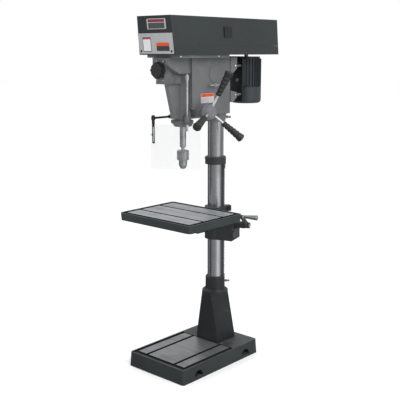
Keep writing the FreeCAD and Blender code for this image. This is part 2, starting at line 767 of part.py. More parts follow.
def table_lock_lever():
    """The clamp bolt, its nut, and the lever that hangs from its far end."""
    across = on_arm(LUG_ANGLE, 0, 1)
    outer = LUG_SPLIT / 2 + LUG_W / 2
    centre = on_arm(LUG_ANGLE, lock_bolt_along(), 0, lock_bolt_z())
    shank = rod(LOCK_BOLT_R, centre - across * (outer + GAP), across, 2 * (outer + GAP))
    nut = hex_prism(18, centre - across * (outer + GAP + 8), across, 8)
    hub = rod(11, centre + across * (outer + GAP), across, 20)
    arm_start = centre + across * (outer + GAP + 12)
    down = V(0, 0, -1)
    lever = rod(5, arm_start, down, LOCK_LEVER_L)
    knob = Part.makeSphere(11, arm_start + down * LOCK_LEVER_L)
    return fuse([shank, nut, hub, lever, knob])


def crank_shaft_worm():
    """A one-start left-hand worm: its crest passes under the axis half a pitch each side of the pinion's middle."""
    root = WORM_R - 1.25 * RACK_MODULE
    tip = WORM_R + RACK_MODULE - WORM_RELIEF
    half = RACK_PITCH / 4 - BACKLASH / 2 - WORM_RELIEF
    turns = 2
    start = -turns / 2 * RACK_PITCH
    path = Part.makeHelix(RACK_PITCH, turns * RACK_PITCH, WORM_R, 0, True)
    flank = (tip - root) * math.tan(math.radians(RACK_FLANK_ANGLE))
    inner = root - 0.5
    corners = [V(inner, 0, -half - flank / 2), V(tip, 0, -half + flank / 2), V(tip, 0, half - flank / 2)]
    corners.append(V(inner, 0, half + flank / 2))
    section = Part.makePolygon([*corners, corners[0]])
    thread = Part.Wire(path.Edges).makePipeShell([section], True, True)
    thread.rotate(V(0, 0, 0), Y_AXIS, -90)
    thread.rotate(V(0, 0, 0), Y_AXIS, 180)
    thread.rotate(V(0, 0, 0), X_AXIS, 180)
    thread.translate(V(PINION_AXIS + start, 0, WORM_Z))
    core = [(-WORM_HALF_L, 0), (-WORM_HALF_L, root), (WORM_HALF_L, root), (WORM_HALF_L + 2, WORM_SHAFT_R)]
    end = WORM_BOSS_END + GAP + CRANK_HUB_L - PINION_AXIS
    core += [(end, WORM_SHAFT_R), (end, 0)]
    shaft = turned(core, V(PINION_AXIS, 0, WORM_Z), X_AXIS)
    return on_lift(fuse([shaft, thread]))


def crank_arm():
    x0 = WORM_BOSS_END + GAP
    arm_x = x0 + 8
    hub = rod(CRANK_HUB_R, V(x0, 0, WORM_Z), X_AXIS, CRANK_HUB_L)
    length = math.hypot(CRANK_REACH, CRANK_RISE)
    u = V(0, CRANK_REACH / length, CRANK_RISE / length)
    w = V(0, -u.z, u.y)
    hub_c = V(arm_x, 0, WORM_Z)
    tip_c = hub_c + u * length
    bar = prism([hub_c + w * 12, hub_c - w * 12, tip_c - w * 8, tip_c + w * 8], X_AXIS * CRANK_ARM_T)
    boss = rod(9, tip_c, X_AXIS, CRANK_ARM_T + 1)
    pin = rod(CRANK_PIN_R, tip_c, X_AXIS, CRANK_ARM_T + HANDLE_L - 8)
    body = fuse([hub, bar, boss, pin])
    return on_lift(body.cut(rod(WORM_SHAFT_R, V(x0 - 1, 0, WORM_Z), X_AXIS, CRANK_HUB_L + 2)))


def crank_handle():
    start = V(WORM_BOSS_END + GAP + 8 + CRANK_ARM_T + 1 + GAP, CRANK_REACH, WORM_Z + CRANK_RISE)
    profile = [(0, 0), (0, HANDLE_R_IN + 2), (5, HANDLE_R_IN + 2), (7, HANDLE_R_IN), (HANDLE_L - 6, HANDLE_R_OUT)]
    profile += [(HANDLE_L - 1, HANDLE_R_OUT), (HANDLE_L, HANDLE_R_OUT - 1.5), (HANDLE_L, 0)]
    body = turned(profile, start, X_AXIS)
    return on_lift(body.cut(rod(CRANK_PIN_R + RUN, start - X_AXIS, X_AXIS, HANDLE_L - 6)))


def lift_pinion():
    wheel = gear(RACK_MODULE, LIFT_TEETH, PINION_FACE)
    wheel.rotate(V(0, 0, 0), X_AXIS, 90)
    wheel.translate(V(PINION_AXIS, PINION_FACE / 2, LIFT_PINION_Z))
    pin = rod(5, V(PINION_AXIS, -HOUSING_HALF_W + 10, LIFT_PINION_Z), Y_AXIS, 2 * HOUSING_HALF_W - 20)
    return on_lift(fuse([wheel, pin]))


def table():
    half = TABLE_W / 2
    z0 = TABLE_TOP - TABLE_EDGE
    d = TABLE_DRAFT
    low = (-half + d, half - d, TABLE_FRONT + d, TABLE_BACK - d)
    body = tapered_block(low, (-half, half, TABLE_FRONT, TABLE_BACK), TABLE_CORNER_R, z0, TABLE_TOP)
    floor = TABLE_TOP - TABLE_TROUGH_DEPTH
    rim = TABLE_RIM
    corner = TABLE_CORNER_R - rim
    inside = (-half + rim, half - rim, TABLE_FRONT + rim, TABLE_BACK - rim)
    trough = tapered_block(inside, inside, corner, floor, TABLE_TOP + 1)
    edge = rim + TABLE_TROUGH_W
    pad_x = half - edge
    pads = box(-pad_x, pad_x, TABLE_FRONT + edge, TABLE_BACK - edge, floor - 1, TABLE_TOP + 2)
    centre_y = (TABLE_FRONT + TABLE_BACK) / 2
    slots = []
    ribs = []
    for side in (-1, 1):
        y = centre_y + side * TABLE_SLOT_OFFSET
        slots += t_slot(
            True, y, -pad_x - 1, pad_x + 1, TABLE_TOP,
            TABLE_SLOT_W, TABLE_SLOT_NECK_H, TABLE_SLOT_HEAD_W, TABLE_SLOT_HEAD_H,
        )
        ribs.append(box(-half, half, y - TABLE_SLOT_RIB_W / 2, y + TABLE_SLOT_RIB_W / 2, z0 - 1, TABLE_TOP))
    for x in (-TABLE_W / 6, TABLE_W / 6):
        ribs.append(box(x - TABLE_RIB / 2, x + TABLE_RIB / 2, TABLE_FRONT, TABLE_BACK, z0 - 1, TABLE_TOP))
    hub_y = TILT_JOINT_Y - GAP / 2
    hub_front = hub_y - TILT_DISC_T
    ribs.append(box(-TILT_DISC_R, TILT_DISC_R, hub_front, hub_y, z0 - 1, TABLE_TOP))
    ceiling = floor - TABLE_PLATE
    wall = TABLE_WALL
    hollow = box(-half + wall, half - wall, TABLE_FRONT + wall, TABLE_BACK - wall, z0 - 1, ceiling)
    body = cut(body, [trough.cut(pads), cut(hollow, ribs), *slots])
    web = box(-TILT_DISC_R, TILT_DISC_R, hub_front, hub_y, TILT_Z, z0 + 0.1)
    hub = fuse([rod(TILT_DISC_R, V(0, hub_front, TILT_Z), Y_AXIS, TILT_DISC_T), web])
    pivot = rod(TILT_BOLT_R + RUN, V(0, hub_front - 1, TILT_Z), Y_AXIS, TILT_DISC_T + 2)
    return fuse([body, hub.cut(pivot)])


# ---------------------------------------------------------------- head
FEED_R = FEED_MODULE * FEED_TEETH / 2
FEED_Y = SPINDLE_Y + QUILL_R - FEED_MODULE + FEED_R
FLANGE_TOP = HEAD_TOP + FLANGE_H


def head_outside():
    """The outer form of the head casting, without its bores."""
    c = HEAD_BACK_CHAMFER
    w = HEAD_HALF_W
    plan = [V(-w, SPINDLE_Y, 0), V(w, SPINDLE_Y, 0), V(w, HEAD_BACK - c, 0)]
    plan += [V(w - c * 0.8, HEAD_BACK, 0), V(-w + c * 0.8, HEAD_BACK, 0), V(-w, HEAD_BACK - c, 0)]
    block = prism(plan, V(0, 0, HEAD_TOP - HEAD_BOTTOM))
    block.translate(V(0, 0, HEAD_BOTTOM))
    recesses = []
    for side in (-1, 1):
        x0, x1 = sorted((side * HEAD_RECESS_HALF_W, side * (w + 1)))
        recesses.append(box(x0, x1, SPINDLE_Y - 1, HEAD_RECESS_Y, HEAD_BOTTOM - 1, HEAD_RECESS_Z))
    block = cut(block, recesses)
    nose = prism(
        [
            V(-NOSE_HALF_W, SPINDLE_Y + 5, QUILL_HOUSING_TOP),
            V(-NOSE_HALF_W, NOSE_BREAK, QUILL_HOUSING_TOP),
            V(-NOSE_HALF_W, NOSE_FRONT, NOSE_LOW_FRONT),
            V(-NOSE_HALF_W, NOSE_FRONT, HEAD_TOP),
            V(-NOSE_HALF_W, SPINDLE_Y + 5, HEAD_TOP),
        ],
        X_AXIS * (2 * NOSE_HALF_W),
    )
    web = prism(
        [
            V(-WEB_HALF_W, SPINDLE_Y, WEB_BOTTOM),
            V(-WEB_HALF_W, WEB_FRONT_BOTTOM, WEB_BOTTOM),
            V(-WEB_HALF_W, WEB_FRONT_TOP, BOX_BOTTOM),
            V(-WEB_HALF_W, WEB_FRONT_TOP, QUILL_HOUSING_TOP + 30),
            V(-WEB_HALF_W, SPINDLE_Y, QUILL_HOUSING_TOP + 30),
        ],
        X_AXIS * (2 * WEB_HALF_W),
    )
    flange = box(-FLANGE_HALF_W, FLANGE_HALF_W, FLANGE_FRONT, FLANGE_BACK, HEAD_TOP, FLANGE_TOP)
    quill_housing = post(QUILL_HOUSING_R, QUILL_HOUSING_BOTTOM, QUILL_HOUSING_TOP, 0, SPINDLE_Y)
    socket = frustum(SOCKET_R_BOTTOM, SOCKET_R_TOP, SOCKET_BOTTOM, HEAD_BOTTOM)
    bridge = box(
        -HEAD_RECESS_HALF_W, HEAD_RECESS_HALF_W, SPINDLE_Y, -SOCKET_R_TOP + 10, QUILL_HOUSING_BOTTOM + 6, HEAD_BOTTOM + 1
    )
    boss = rod(BOSS_R, V(-HEAD_HALF_W, FEED_Y, PINION_Z), X_AXIS, HEAD_HALF_W + BOSS_END)
    stop_lug = stop_lug_solid(QUILL_HOUSING_BOTTOM, QUILL_HOUSING_BOTTOM + STOP_LUG_H)
    ears = []
    for side in (-1, 1):
        x0, x1 = sorted((side * (BAR_X - 18), side * (HEAD_HALF_W + 4)))
        for z in BAR_Z:
            ears.append(ear(x0, x1, z))
    side_boss = rod(SIDE_BOSS_R, V(0, SIDE_BOSS_Y, SIDE_BOSS_Z), X_AXIS, HEAD_HALF_W + SIDE_BOSS_T)
    guard_pad = box(
        GUARD_PIN_X - 8, -QUILL_HOUSING_R + 12, GUARD_ARM_BACK - 10, GUARD_ARM_BACK + 12,
        GUARD_ARM_Z - 9, GUARD_ARM_Z + 9,
    )
    return fuse(
        [block, nose, web, flange, quill_housing, socket, bridge, boss, stop_lug, *ears, side_boss, guard_pad]
    )


def ear(x0, x1, z):
    """A gusset that carries a slide bar: the upper one hangs from the head's top, the lower one tapers both ways."""
    root = HEAD_BACK - HEAD_BACK_CHAMFER
    top = HEAD_TOP + 1 if z == BAR_Z[0] else z + EAR_HALF_H
    back_top = top if z == BAR_Z[0] else z + EAR_TIP_HALF_H
    profile = [
        V(x0, root, top), V(x0, EAR_BACK, back_top), V(x0, EAR_BACK, z - EAR_TIP_HALF_H),
        V(x0, HEAD_BACK, z - EAR_HALF_H - EAR_TAPER), V(x0, root, z - EAR_HALF_H - EAR_TAPER),
    ]
    return prism(profile, X_AXIS * (x1 - x0))


def stop_lug_solid(z0, z1):
    """The ear round the depth rod, joined to the quill's axis."""
    reach = V(STOP_X, STOP_Y - SPINDLE_Y, 0)
    u = V(reach.x, reach.y, 0).normalize()
    w = V(-u.y, u.x, 0) * STOP_LUG_R
    start = V(0, SPINDLE_Y, z0) + u * QUILL_R
    end = V(STOP_X, STOP_Y, z0)
    web = prism([start + w, start - w, end - w, end + w], V(0, 0, z1 - z0))
    return fuse([web, post(STOP_LUG_R, z0, z1, STOP_X, STOP_Y)])


def head_casting():
    quill_bore = post(QUILL_R + RUN, QUILL_HOUSING_BOTTOM - 1, QUILL_HOUSING_TOP, 0, SPINDLE_Y)
    drive_bore = post(DRIVE_BEARING_R + RUN, QUILL_HOUSING_TOP - 1, FLANGE_TOP + 1, 0, SPINDLE_Y)
    column_bore = post(COLUMN_R + RUN, SOCKET_BOTTOM - 1, COLUMN_TOP + 2)
    shaft_bore = rod(PINION_SHAFT_R + RUN, V(-HEAD_HALF_W - 1, FEED_Y, PINION_Z), X_AXIS, HEAD_HALF_W + BOSS_END + 2)
    tip = FEED_R + FEED_MODULE + 1
    pinion_room = rod(tip, V(-PINION_HALF_L - 1, FEED_Y, PINION_Z), X_AXIS, 2 * PINION_HALF_L + 2)
    bars = []
    for x, z in bar_places():
        bars.append(rod(BAR_R + RUN, V(x, BAR_FRONT - TENSION_TRAVEL - 2, z), Y_AXIS, EAR_BACK - BAR_FRONT + TENSION_TRAVEL + 4))
    stop_bore = post(STOP_ROD_R + LOOSE, QUILL_HOUSING_BOTTOM - 1, QUILL_HOUSING_BOTTOM + STOP_LUG_H + 1, STOP_X, STOP_Y)
    room_z0 = PINION_Z + BOSS_R + 6
    room = box(-HOLLOW_HALF_W, HOLLOW_HALF_W, HOLLOW_FRONT, HOLLOW_BACK, room_z0, FLANGE_TOP + 1)
    screws = [screw_hole(a, HEAD_SCREW_Z, SOCKET_R_TOP) for a in SCREW_ANGLES]
    lock_hole = rod(6 + RUN, V(HEAD_HALF_W - 20, LOCK_Y, LOCK_Z), X_AXIS, 24)
    arm_hole = rod(GUARD_ARM_R, V(GUARD_PIN_X, GUARD_ARM_BACK + 13, GUARD_ARM_Z), V(0, -1, 0), 30)
    tools = [quill_bore, drive_bore, column_bore, shaft_bore, pinion_room, stop_bore, lock_hole, arm_hole, room]
    return cut(head_outside(), [*tools, *bars, *screws])


def bar_places():
    return [(side * BAR_X, z) for side in (-1, 1) for z in BAR_Z]


def switch_box():
    """The control housing on the front of the head, shaped to the casting behind it."""
    head = head_outside()
    front = NOSE_FRONT - BOX_FACE_T
    body = box(-BOX_HALF_W, BOX_HALF_W, BOX_FRONT, BOX_BACK, BOX_BOTTOM, BOX_TOP)
    face = box(-BOX_HALF_W, BOX_HALF_W, front, NOSE_FRONT, BOX_TOP - 20, BOX_FACE_TOP)
    apron = box(-BOX_HALF_W, BOX_HALF_W, front, BOX_FRONT, BOX_BOTTOM, BOX_TOP)
    room = box(
        -BOX_HALF_W + BOX_WALL, BOX_HALF_W - BOX_WALL, BOX_FRONT + BOX_WALL, WEB_FRONT_TOP - 2,
        BOX_BOTTOM + BOX_WALL, NOSE_LOW_FRONT - 22,
    )
    screws = [rod(BOX_SCREW_R - 1, V(x, front - 1, z), Y_AXIS, BOX_FACE_T + 5) for x, z in box_screw_places()]
    shaft = rod(5 + RUN, V(0, front - 1, KNOB_Z), Y_AXIS, 16)
    return cut(fuse([body, face, apron]), [head, room, shaft, *screws])


def box_screw_places():
    return [(i * BOX_SCREW_X, z) for i in (-1, 1) for z in (BOX_BOTTOM + 18, BOX_FACE_TOP - 6)]


def switch_box_screws():
    screws = []
    for x, z in box_screw_places():
        face = V(x, NOSE_FRONT - BOX_FACE_T, z)
        shank = rod(BOX_SCREW_R - 1, face, Y_AXIS, BOX_FACE_T)
        head = turned([(-2.5, 0), (-2.5, BOX_SCREW_R - 1.2), (-1, BOX_SCREW_R), (0, BOX_SCREW_R), (0, 0)], face, Y_AXIS)
        screws.append(fuse([shank, head]))
    return Part.makeCompound(screws)


def switch_knob():
    """A round knob with finger lobes and a pointer."""
    back = NOSE_FRONT - BOX_FACE_T - GAP
    disc = rod(KNOB_R - 5, V(0, back, KNOB_Z), V(0, -1, 0), KNOB_T)
    lobes = []
    for n in range(KNOB_LOBES):
        a = 2 * math.pi * n / KNOB_LOBES
        centre = V((KNOB_R - 9) * math.cos(a), back, KNOB_Z + (KNOB_R - 9) * math.sin(a))
        lobes.append(rod(9, centre, V(0, -1, 0), KNOB_T - 4))
    pointer = prism(
        [V(-KNOB_R + 8, back, KNOB_Z - 9), V(-KNOB_R - 6, back, KNOB_Z), V(-KNOB_R + 8, back, KNOB_Z + 9)],
        V(0, -KNOB_T + 4, 0),
    )
    shaft = rod(5, V(0, back - 1, KNOB_Z), Y_AXIS, 14)
    return fuse([disc, *lobes, pointer, shaft])


def spring_housing():
    """The cup on the left end of the feed shaft that holds the return spring."""
    x0 = -HEAD_HALF_W - SPRING_CUP_L
    cup = rod(SPRING_CUP_R, V(x0, FEED_Y, PINION_Z), X_AXIS, SPRING_CUP_L)
    room = rod(SPRING_CUP_R - 3, V(x0 + 3, FEED_Y, PINION_Z), X_AXIS, SPRING_CUP_L - 6)
    return cut(cup, [room, rod(PINION_SHAFT_R + RUN, V(x0 - 1, FEED_Y, PINION_Z), X_AXIS, SPRING_CUP_L + 2)])


def feed_return_spring():
    """A flat spiral of half rings, each on the other centre from the last."""
    width = SPRING_CUP_L - 12
    x0 = -HEAD_HALF_W - SPRING_CUP_L + 6
    halves = []
    for n in range(2 * SPRING_TURNS):
        inner = PINION_SHAFT_R + 2 + n * SPRING_PITCH / 2
        upper = n % 2 == 0
        shift = 0.0 if upper else SPRING_PITCH / 2
        centre = V(x0, FEED_Y + shift, PINION_Z)
        ring = rod(inner + SPRING_STRIP, centre, X_AXIS, width).cut(rod(inner, centre - X_AXIS, X_AXIS, width + 2))
        z0 = PINION_Z if upper else PINION_Z - 100
        halves.append(ring.common(box(x0 - 1, x0 + width + 1, FEED_Y - 100, FEED_Y + 100, z0, z0 + 100)))
    return fuse(halves)


def motor_bar_lock():
    """The T handle that clamps the motor's slide bars."""
    face = HEAD_HALF_W + GAP
    stud = rod(6, V(face - 18, LOCK_Y, LOCK_Z), X_AXIS, 19)
    hub = rod(LOCK_HUB_R, V(face, LOCK_Y, LOCK_Z), X_AXIS, LOCK_HUB_L)
    bar = rod(LOCK_BAR_R, V(face + LOCK_HUB_L - 7, LOCK_Y - LOCK_BAR_L / 2, LOCK_Z), Y_AXIS, LOCK_BAR_L)
    return fuse([stud, hub, bar])


# ---------------------------------------------------------------- guard
def guard_arm():
    length = GUARD_ARM_BACK - GUARD_PIN_Y + 12
    bar = rod(GUARD_ARM_R, V(GUARD_PIN_X, GUARD_ARM_BACK + 12, GUARD_ARM_Z), V(0, -1, 0), length)
    boss = post(GUARD_PIN_R + 5, GUARD_ARM_Z - 8, GUARD_ARM_Z + 8, GUARD_PIN_X, GUARD_PIN_Y)
    return fuse([bar, boss]).cut(post(GUARD_PIN_R + RUN, GUARD_ARM_Z - 9, GUARD_ARM_Z + 9, GUARD_PIN_X, GUARD_PIN_Y))


def guard_pivot_bar():
    """The pin in the arm's end, its cap, and the slotted bar that hangs from it."""
    x, y = GUARD_PIN_X, GUARD_PIN_Y
    pin = post(GUARD_PIN_R, GUARD_PIN_BOTTOM, GUARD_PIN_TOP, x, y)
    cap = post(GUARD_PIN_R + 2.5, GUARD_ARM_Z + 8 + GAP, GUARD_PIN_TOP + 2, x, y)
    foot = post(GUARD_PIN_R + 2.5, GUARD_PIN_BOTTOM - 8, GUARD_ARM_Z - 8 - GAP, x, y)
    half = GUARD_BAR_W / 2
    front = y - GUARD_BAR_T / 2
    bar = box(x - half, x + half, front, front + GUARD_BAR_T, GUARD_BAR_BOTTOM, GUARD_PIN_BOTTOM - 4)
    slot = box(
        x - GUARD_SLOT_W / 2, x + GUARD_SLOT_W / 2, front - 1, front + GUARD_BAR_T + 1,
        GUARD_SLOT_BOTTOM, GUARD_SLOT_TOP,
    )
    return fuse([pin, cap, foot, bar.cut(slot)])


def guard_shield():
    """A bent clear sheet: a narrow flange behind the slotted bar and a wide screen before the chuck."""
    y0 = GUARD_PIN_Y + GUARD_BAR_T / 2 + GAP
    x0 = GUARD_PIN_X - SHIELD_FLANGE_HALF
    x1 = GUARD_PIN_X + SHIELD_FLANGE_HALF
    a = math.radians(SHIELD_ANGLE)
    along = V(math.cos(a), math.sin(a), 0)
    thick = V(-math.sin(a), math.cos(a), 0) * SHIELD_T
    bend = V(x1, y0, SHIELD_BOTTOM)
    miter = V(x1 - SHIELD_T * math.tan(a / 2), y0 + SHIELD_T, SHIELD_BOTTOM)
    end = bend + along * SHIELD_L
    points = [V(x0, y0, SHIELD_BOTTOM), bend, end, end + thick, miter, V(x0, y0 + SHIELD_T, SHIELD_BOTTOM)]
    sheet = prism(points, V(0, 0, SHIELD_TOP - SHIELD_BOTTOM))
    middle = (GUARD_SLOT_TOP + GUARD_SLOT_BOTTOM) / 2
    front = GUARD_PIN_Y - GUARD_BAR_T / 2 - GAP
    stud = rod(GUARD_SLOT_W / 2 - GAP, V(GUARD_PIN_X, front - 6, middle), Y_AXIS, y0 - front + 6 + SHIELD_T)
    wings = []
    for side in (-1, 1):
        wing = box(-7, 7, -3, 0, 0, 9)
        wing.rotate(V(0, 0, 0), Y_AXIS, side * 55)
        wing.translate(V(GUARD_PIN_X + side * 3, front - 1, middle - 3))
        wings.append(wing)
    nut = rod(6, V(GUARD_PIN_X, front - 6, middle), Y_AXIS, 6)
    return fuse([sheet, stud, nut, *wings])


# ---------------------------------------------------------------- feed
def feed_pinion_shaft():
    wheel = gear(FEED_MODULE, FEED_TEETH, 2 * PINION_HALF_L)
    wheel.rotate(V(0, 0, 0), Z_AXIS, 180)
    wheel.rotate(V(0, 0, 0), Z_AXIS, 90)
    wheel.rotate(V(0, 0, 0), Y_AXIS, 90)
    wheel.translate(V(-PINION_HALF_L, FEED_Y, PINION_Z))
    start = -HEAD_HALF_W - SPRING_CUP_L - 3
    shaft = rod(PINION_SHAFT_R, V(start, FEED_Y, PINION_Z), X_AXIS, BOSS_END + GAP + HUB_BORE - start)
    return fuse([wheel, shaft])


def feed_hub():
    x0 = BOSS_END + GAP
    profile = [
        (0, PINION_SHAFT_R), (0, BOSS_R - 2), (6, BOSS_R), (16, HUB_R - 1), (24, HUB_R), (44, HUB_R - 4),
        (54, HUB_R - 12), (58, HUB_R - 20), (58, 0), (HUB_BORE, 0), (HUB_BORE, PINION_SHAFT_R),
    ]
    body = turned(profile, V(x0, FEED_Y, PINION_Z), X_AXIS)
    return cut(body, [rod(ROD_R, V(*p), d, GRIP_START) for p, d in rod_lines()])


def rod_lines():
    """The start point and direction of each feed handle."""
    cone = math.radians(ROD_CONE)
    lines = []
    for n in range(ROD_COUNT):
        a = math.radians(ROD_START_ANGLE + 360 / ROD_COUNT * n)
        d = V(math.sin(cone), math.cos(cone) * math.cos(a), math.cos(cone) * math.sin(a))
        p = V(HUB_CENTRE, FEED_Y, PINION_Z) + d * ROD_ROOT
        lines.append((p, d))
    return lines


def feed_rods():
    return Part.makeCompound([rod(ROD_R, p, d, GRIP_START + 30 - ROD_ROOT) for p, d in rod_lines()])


def feed_grips():
    grips = []
    length = GRIP_END - GRIP_START
    bands = 7
    for p, d in rod_lines():
        profile = [(0, 0), (0, GRIP_R_IN)]
        for n in range(bands):
            s = 6 + (length - 26) * n / bands
            r = GRIP_R_IN + (GRIP_R_OUT - 3 - GRIP_R_IN) * s / length
            profile += [(s, r), (s + 9, r + 1.8)]
        profile += [(length - 12, GRIP_R_OUT - 1), (length - 6, GRIP_R_OUT), (length - 2, GRIP_R_OUT - 2), (length, GRIP_R_OUT - 7)]
        profile.append((length, 0))
        start = p + d * (GRIP_START - ROD_ROOT)
        grips.append(turned(profile, start, d).cut(rod(ROD_R, start - d, d, 31)))
    return Part.makeCompound(grips)


# ---------------------------------------------------------------- quill and spindle
def quill():
    body = post(QUILL_R, QUILL_BOTTOM, QUILL_TOP, 0, SPINDLE_Y)
    bore = post(SPINDLE_R + 2, QUILL_BOTTOM - 1, QUILL_TOP + 1, 0, SPINDLE_Y)
    seats = [post(QUILL_BEARING_R, z - 1, z + BEARING_H + 1, 0, SPINDLE_Y) for z in quill_bearing_z()]
    flat_y = SPINDLE_Y + QUILL_R
    surface = V(0, flat_y, 0)
    below = 4
    centre = PINION_Z + (FEED_PITCHES // 2) * math.pi * FEED_MODULE
    gaps = rack_gaps(FEED_MODULE, surface, V(0, -1, 0), centre, FEED_PITCHES // 2 + below, PINION_HALF_L + 2)
    return cut(body, [bore, *seats, *gaps])


def quill_bearing_z():
    return (QUILL_BOTTOM + 4, QUILL_TOP - BEARING_H - 4)


def quill_bearings():
    rings = []
    for z in quill_bearing_z():
        ring = post(QUILL_BEARING_R, z, z + BEARING_H, 0, SPINDLE_Y)
        rings.append(ring.cut(post(SPINDLE_JOURNAL_R + RUN, z - 1, z + BEARING_H + 1, 0, SPINDLE_Y)))
    return Part.makeCompound(rings)


def quill_collar():
    z1 = QUILL_BOTTOM + QUILL_COLLAR_H
    step = QUILL_BOTTOM + COLLAR_STEP_H
    rings = [
        frustum(COLLAR_LOW_R - 4, COLLAR_LOW_R, QUILL_BOTTOM, QUILL_BOTTOM + 4, 0, SPINDLE_Y),
        post(COLLAR_LOW_R, QUILL_BOTTOM + 4, step, 0, SPINDLE_Y),
        post(COLLAR_TOP_R, step, z1, 0, SPINDLE_Y),
    ]
    lug = stop_lug_solid(step, z1)
    clamp = box(-COLLAR_TOP_R - 14, -QUILL_R - 4, SPINDLE_Y - 14, SPINDLE_Y + 14, step, z1)
    split = box(-COLLAR_TOP_R - 15, -QUILL_R + 4, SPINDLE_Y - 1.5, SPINDLE_Y + 1.5, QUILL_BOTTOM - 1, z1 + 1)
    bolt_way = rod(3.5, V(-COLLAR_TOP_R - 6, SPINDLE_Y - 20, (step + z1) / 2), Y_AXIS, 40)
    stop = post(STOP_ROD_R, step - 1, z1 + 1, STOP_X, STOP_Y)
    body = fuse([*rings, lug, clamp])
    return cut(body, [post(QUILL_R, QUILL_BOTTOM - 1, z1 + 1, 0, SPINDLE_Y), split, bolt_way, stop])


def depth_rod():
    step = QUILL_BOTTOM + COLLAR_STEP_H
    rod_body = post(STOP_ROD_R, STOP_ROD_BOTTOM, STOP_ROD_TOP, STOP_X, STOP_Y)
    nut = hex_prism(15, V(STOP_X, STOP_Y, step - 9), Z_AXIS, 9)
    return fuse([rod_body, nut])


def depth_nuts():
    """Two knurled nuts, one locked on the other."""
    nuts = []
    z = STOP_NUT_Z
    ridges = 20
    for _ in range(2):
        body = post(STOP_NUT_R, z, z + STOP_NUT_H, STOP_X, STOP_Y)
        grooves = []
        for n in range(ridges):
            a = 2 * math.pi * n / ridges
            grooves.append(post(0.8, z - 1, z + STOP_NUT_H + 1, STOP_X + STOP_NUT_R * math.cos(a), STOP_Y + STOP_NUT_R * math.sin(a)))
        nuts.append(cut(body, [*grooves, post(STOP_ROD_R + RUN, z - 1, z + STOP_NUT_H + 1, STOP_X, STOP_Y)]))
        z += STOP_NUT_H + GAP
    return Part.makeCompound(nuts)


def spline_bar(radius, z0, z1, extra):
    """A shaft with straight splines; extra makes it the hole for such a shaft."""
    core = post(radius - 1.2 + extra, z0, z1, 0, SPINDLE_Y)
    teeth = []
    for n in range(SPLINES):
        tooth = box(0, radius + extra, -1.8 - extra, 1.8 + extra, z0, z1)
        tooth.rotate(V(0, 0, 0), Z_AXIS, 360 / SPLINES * n)
        tooth.translate(V(0, SPINDLE_Y, 0))
        teeth.append(tooth)
    return fuse([core, *teeth])


def spindle():
    nose_top = QUILL_BOTTOM - GAP
    pieces = [
        frustum(SPINDLE_R - 2, SPINDLE_R, SPINDLE_BOTTOM, SPINDLE_BOTTOM + 4, 0, SPINDLE_Y),
        post(SPINDLE_R, SPINDLE_BOTTOM + 4, nose_top, 0, SPINDLE_Y),
        post(SPINDLE_JOURNAL_R, nose_top, QUILL_TOP, 0, SPINDLE_Y),
        spline_bar(SPINDLE_SPLINE_R, QUILL_TOP, SPINDLE_TOP, 0),
    ]
    taper = frustum(TAPER_R, TAPER_R_END, SPINDLE_BOTTOM, SPINDLE_BOTTOM + TAPER_L, 0, SPINDLE_Y)
    slot_z = SPINDLE_BOTTOM + TAPER_L - 16
    slot = box(
        -SPINDLE_R - 1, SPINDLE_R + 1, SPINDLE_Y - DRIFT_SLOT_W / 2, SPINDLE_Y + DRIFT_SLOT_W / 2,
        slot_z, slot_z + DRIFT_SLOT_L,
    )
    return cut(fuse(pieces), [taper, slot])


def chuck_arbor():
    """A taper that drives into the spindle, a neck, and a short taper in the chuck."""
    slot_z = SPINDLE_BOTTOM + TAPER_L - 16
    top_r = TAPER_R + (TAPER_R_END - TAPER_R) * (slot_z - SPINDLE_BOTTOM) / TAPER_L
    pieces = [
        frustum(TAPER_R, top_r, SPINDLE_BOTTOM, slot_z, 0, SPINDLE_Y),
        post(CHUCK_NECK_R, CHUCK_TOP, SPINDLE_BOTTOM, 0, SPINDLE_Y),
        frustum(CHUCK_NECK_R - 1, CHUCK_NECK_R, CHUCK_TOP - 24, CHUCK_TOP, 0, SPINDLE_Y),
    ]
    return fuse(pieces)


def jaw_axis(n):
    """The point at the tip of jaw n, and the direction in which it draws back."""
    a = math.radians(90 + 360 / JAW_COUNT * n)
    lean = math.radians(JAW_ANGLE)
    out = V(math.cos(a), math.sin(a), 0)
    tip = V(0, SPINDLE_Y, CHUCK_BOTTOM - 2) + out * JAW_TIP_OFFSET
    return tip, out * math.sin(lean) + Z_AXIS * math.cos(lean)


def chuck_body():
    s = CHUCK_SLEEVE_Z + CHUCK_LIP_H
    pieces = [
        frustum(CHUCK_NOSE_TIP_R, CHUCK_NOSE_R, CHUCK_BOTTOM, CHUCK_BOTTOM + 14, 0, SPINDLE_Y),
        post(CHUCK_NOSE_R, CHUCK_BOTTOM + 14, s, 0, SPINDLE_Y),
        post(CHUCK_BODY_R, s, CHUCK_TOP - 2, 0, SPINDLE_Y),
        frustum(CHUCK_BODY_R, CHUCK_BODY_R - 2, CHUCK_TOP - 2, CHUCK_TOP, 0, SPINDLE_Y),
    ]
    tools = [
        post(CHUCK_MOUTH_R, CHUCK_BOTTOM - 1, CHUCK_BOTTOM + 34, 0, SPINDLE_Y),
        frustum(CHUCK_NECK_R - 1, CHUCK_NECK_R, CHUCK_TOP - 24, CHUCK_TOP, 0, SPINDLE_Y),
    ]
    for n in range(JAW_COUNT):
        tip, d = jaw_axis(n)
        tools.append(rod(JAW_R + GAP, tip - d * 5, d, JAW_BORE_L + 5))
    for n in range(JAW_COUNT):
        a = math.radians(30 + 360 / JAW_COUNT * n)
        hole_z = CHUCK_BOTTOM + 26
        tools.append(rod(3, V(12 * math.cos(a), SPINDLE_Y + 12 * math.sin(a), hole_z), V(math.cos(a), math.sin(a), 0), 12))
    return cut(fuse(pieces), tools)


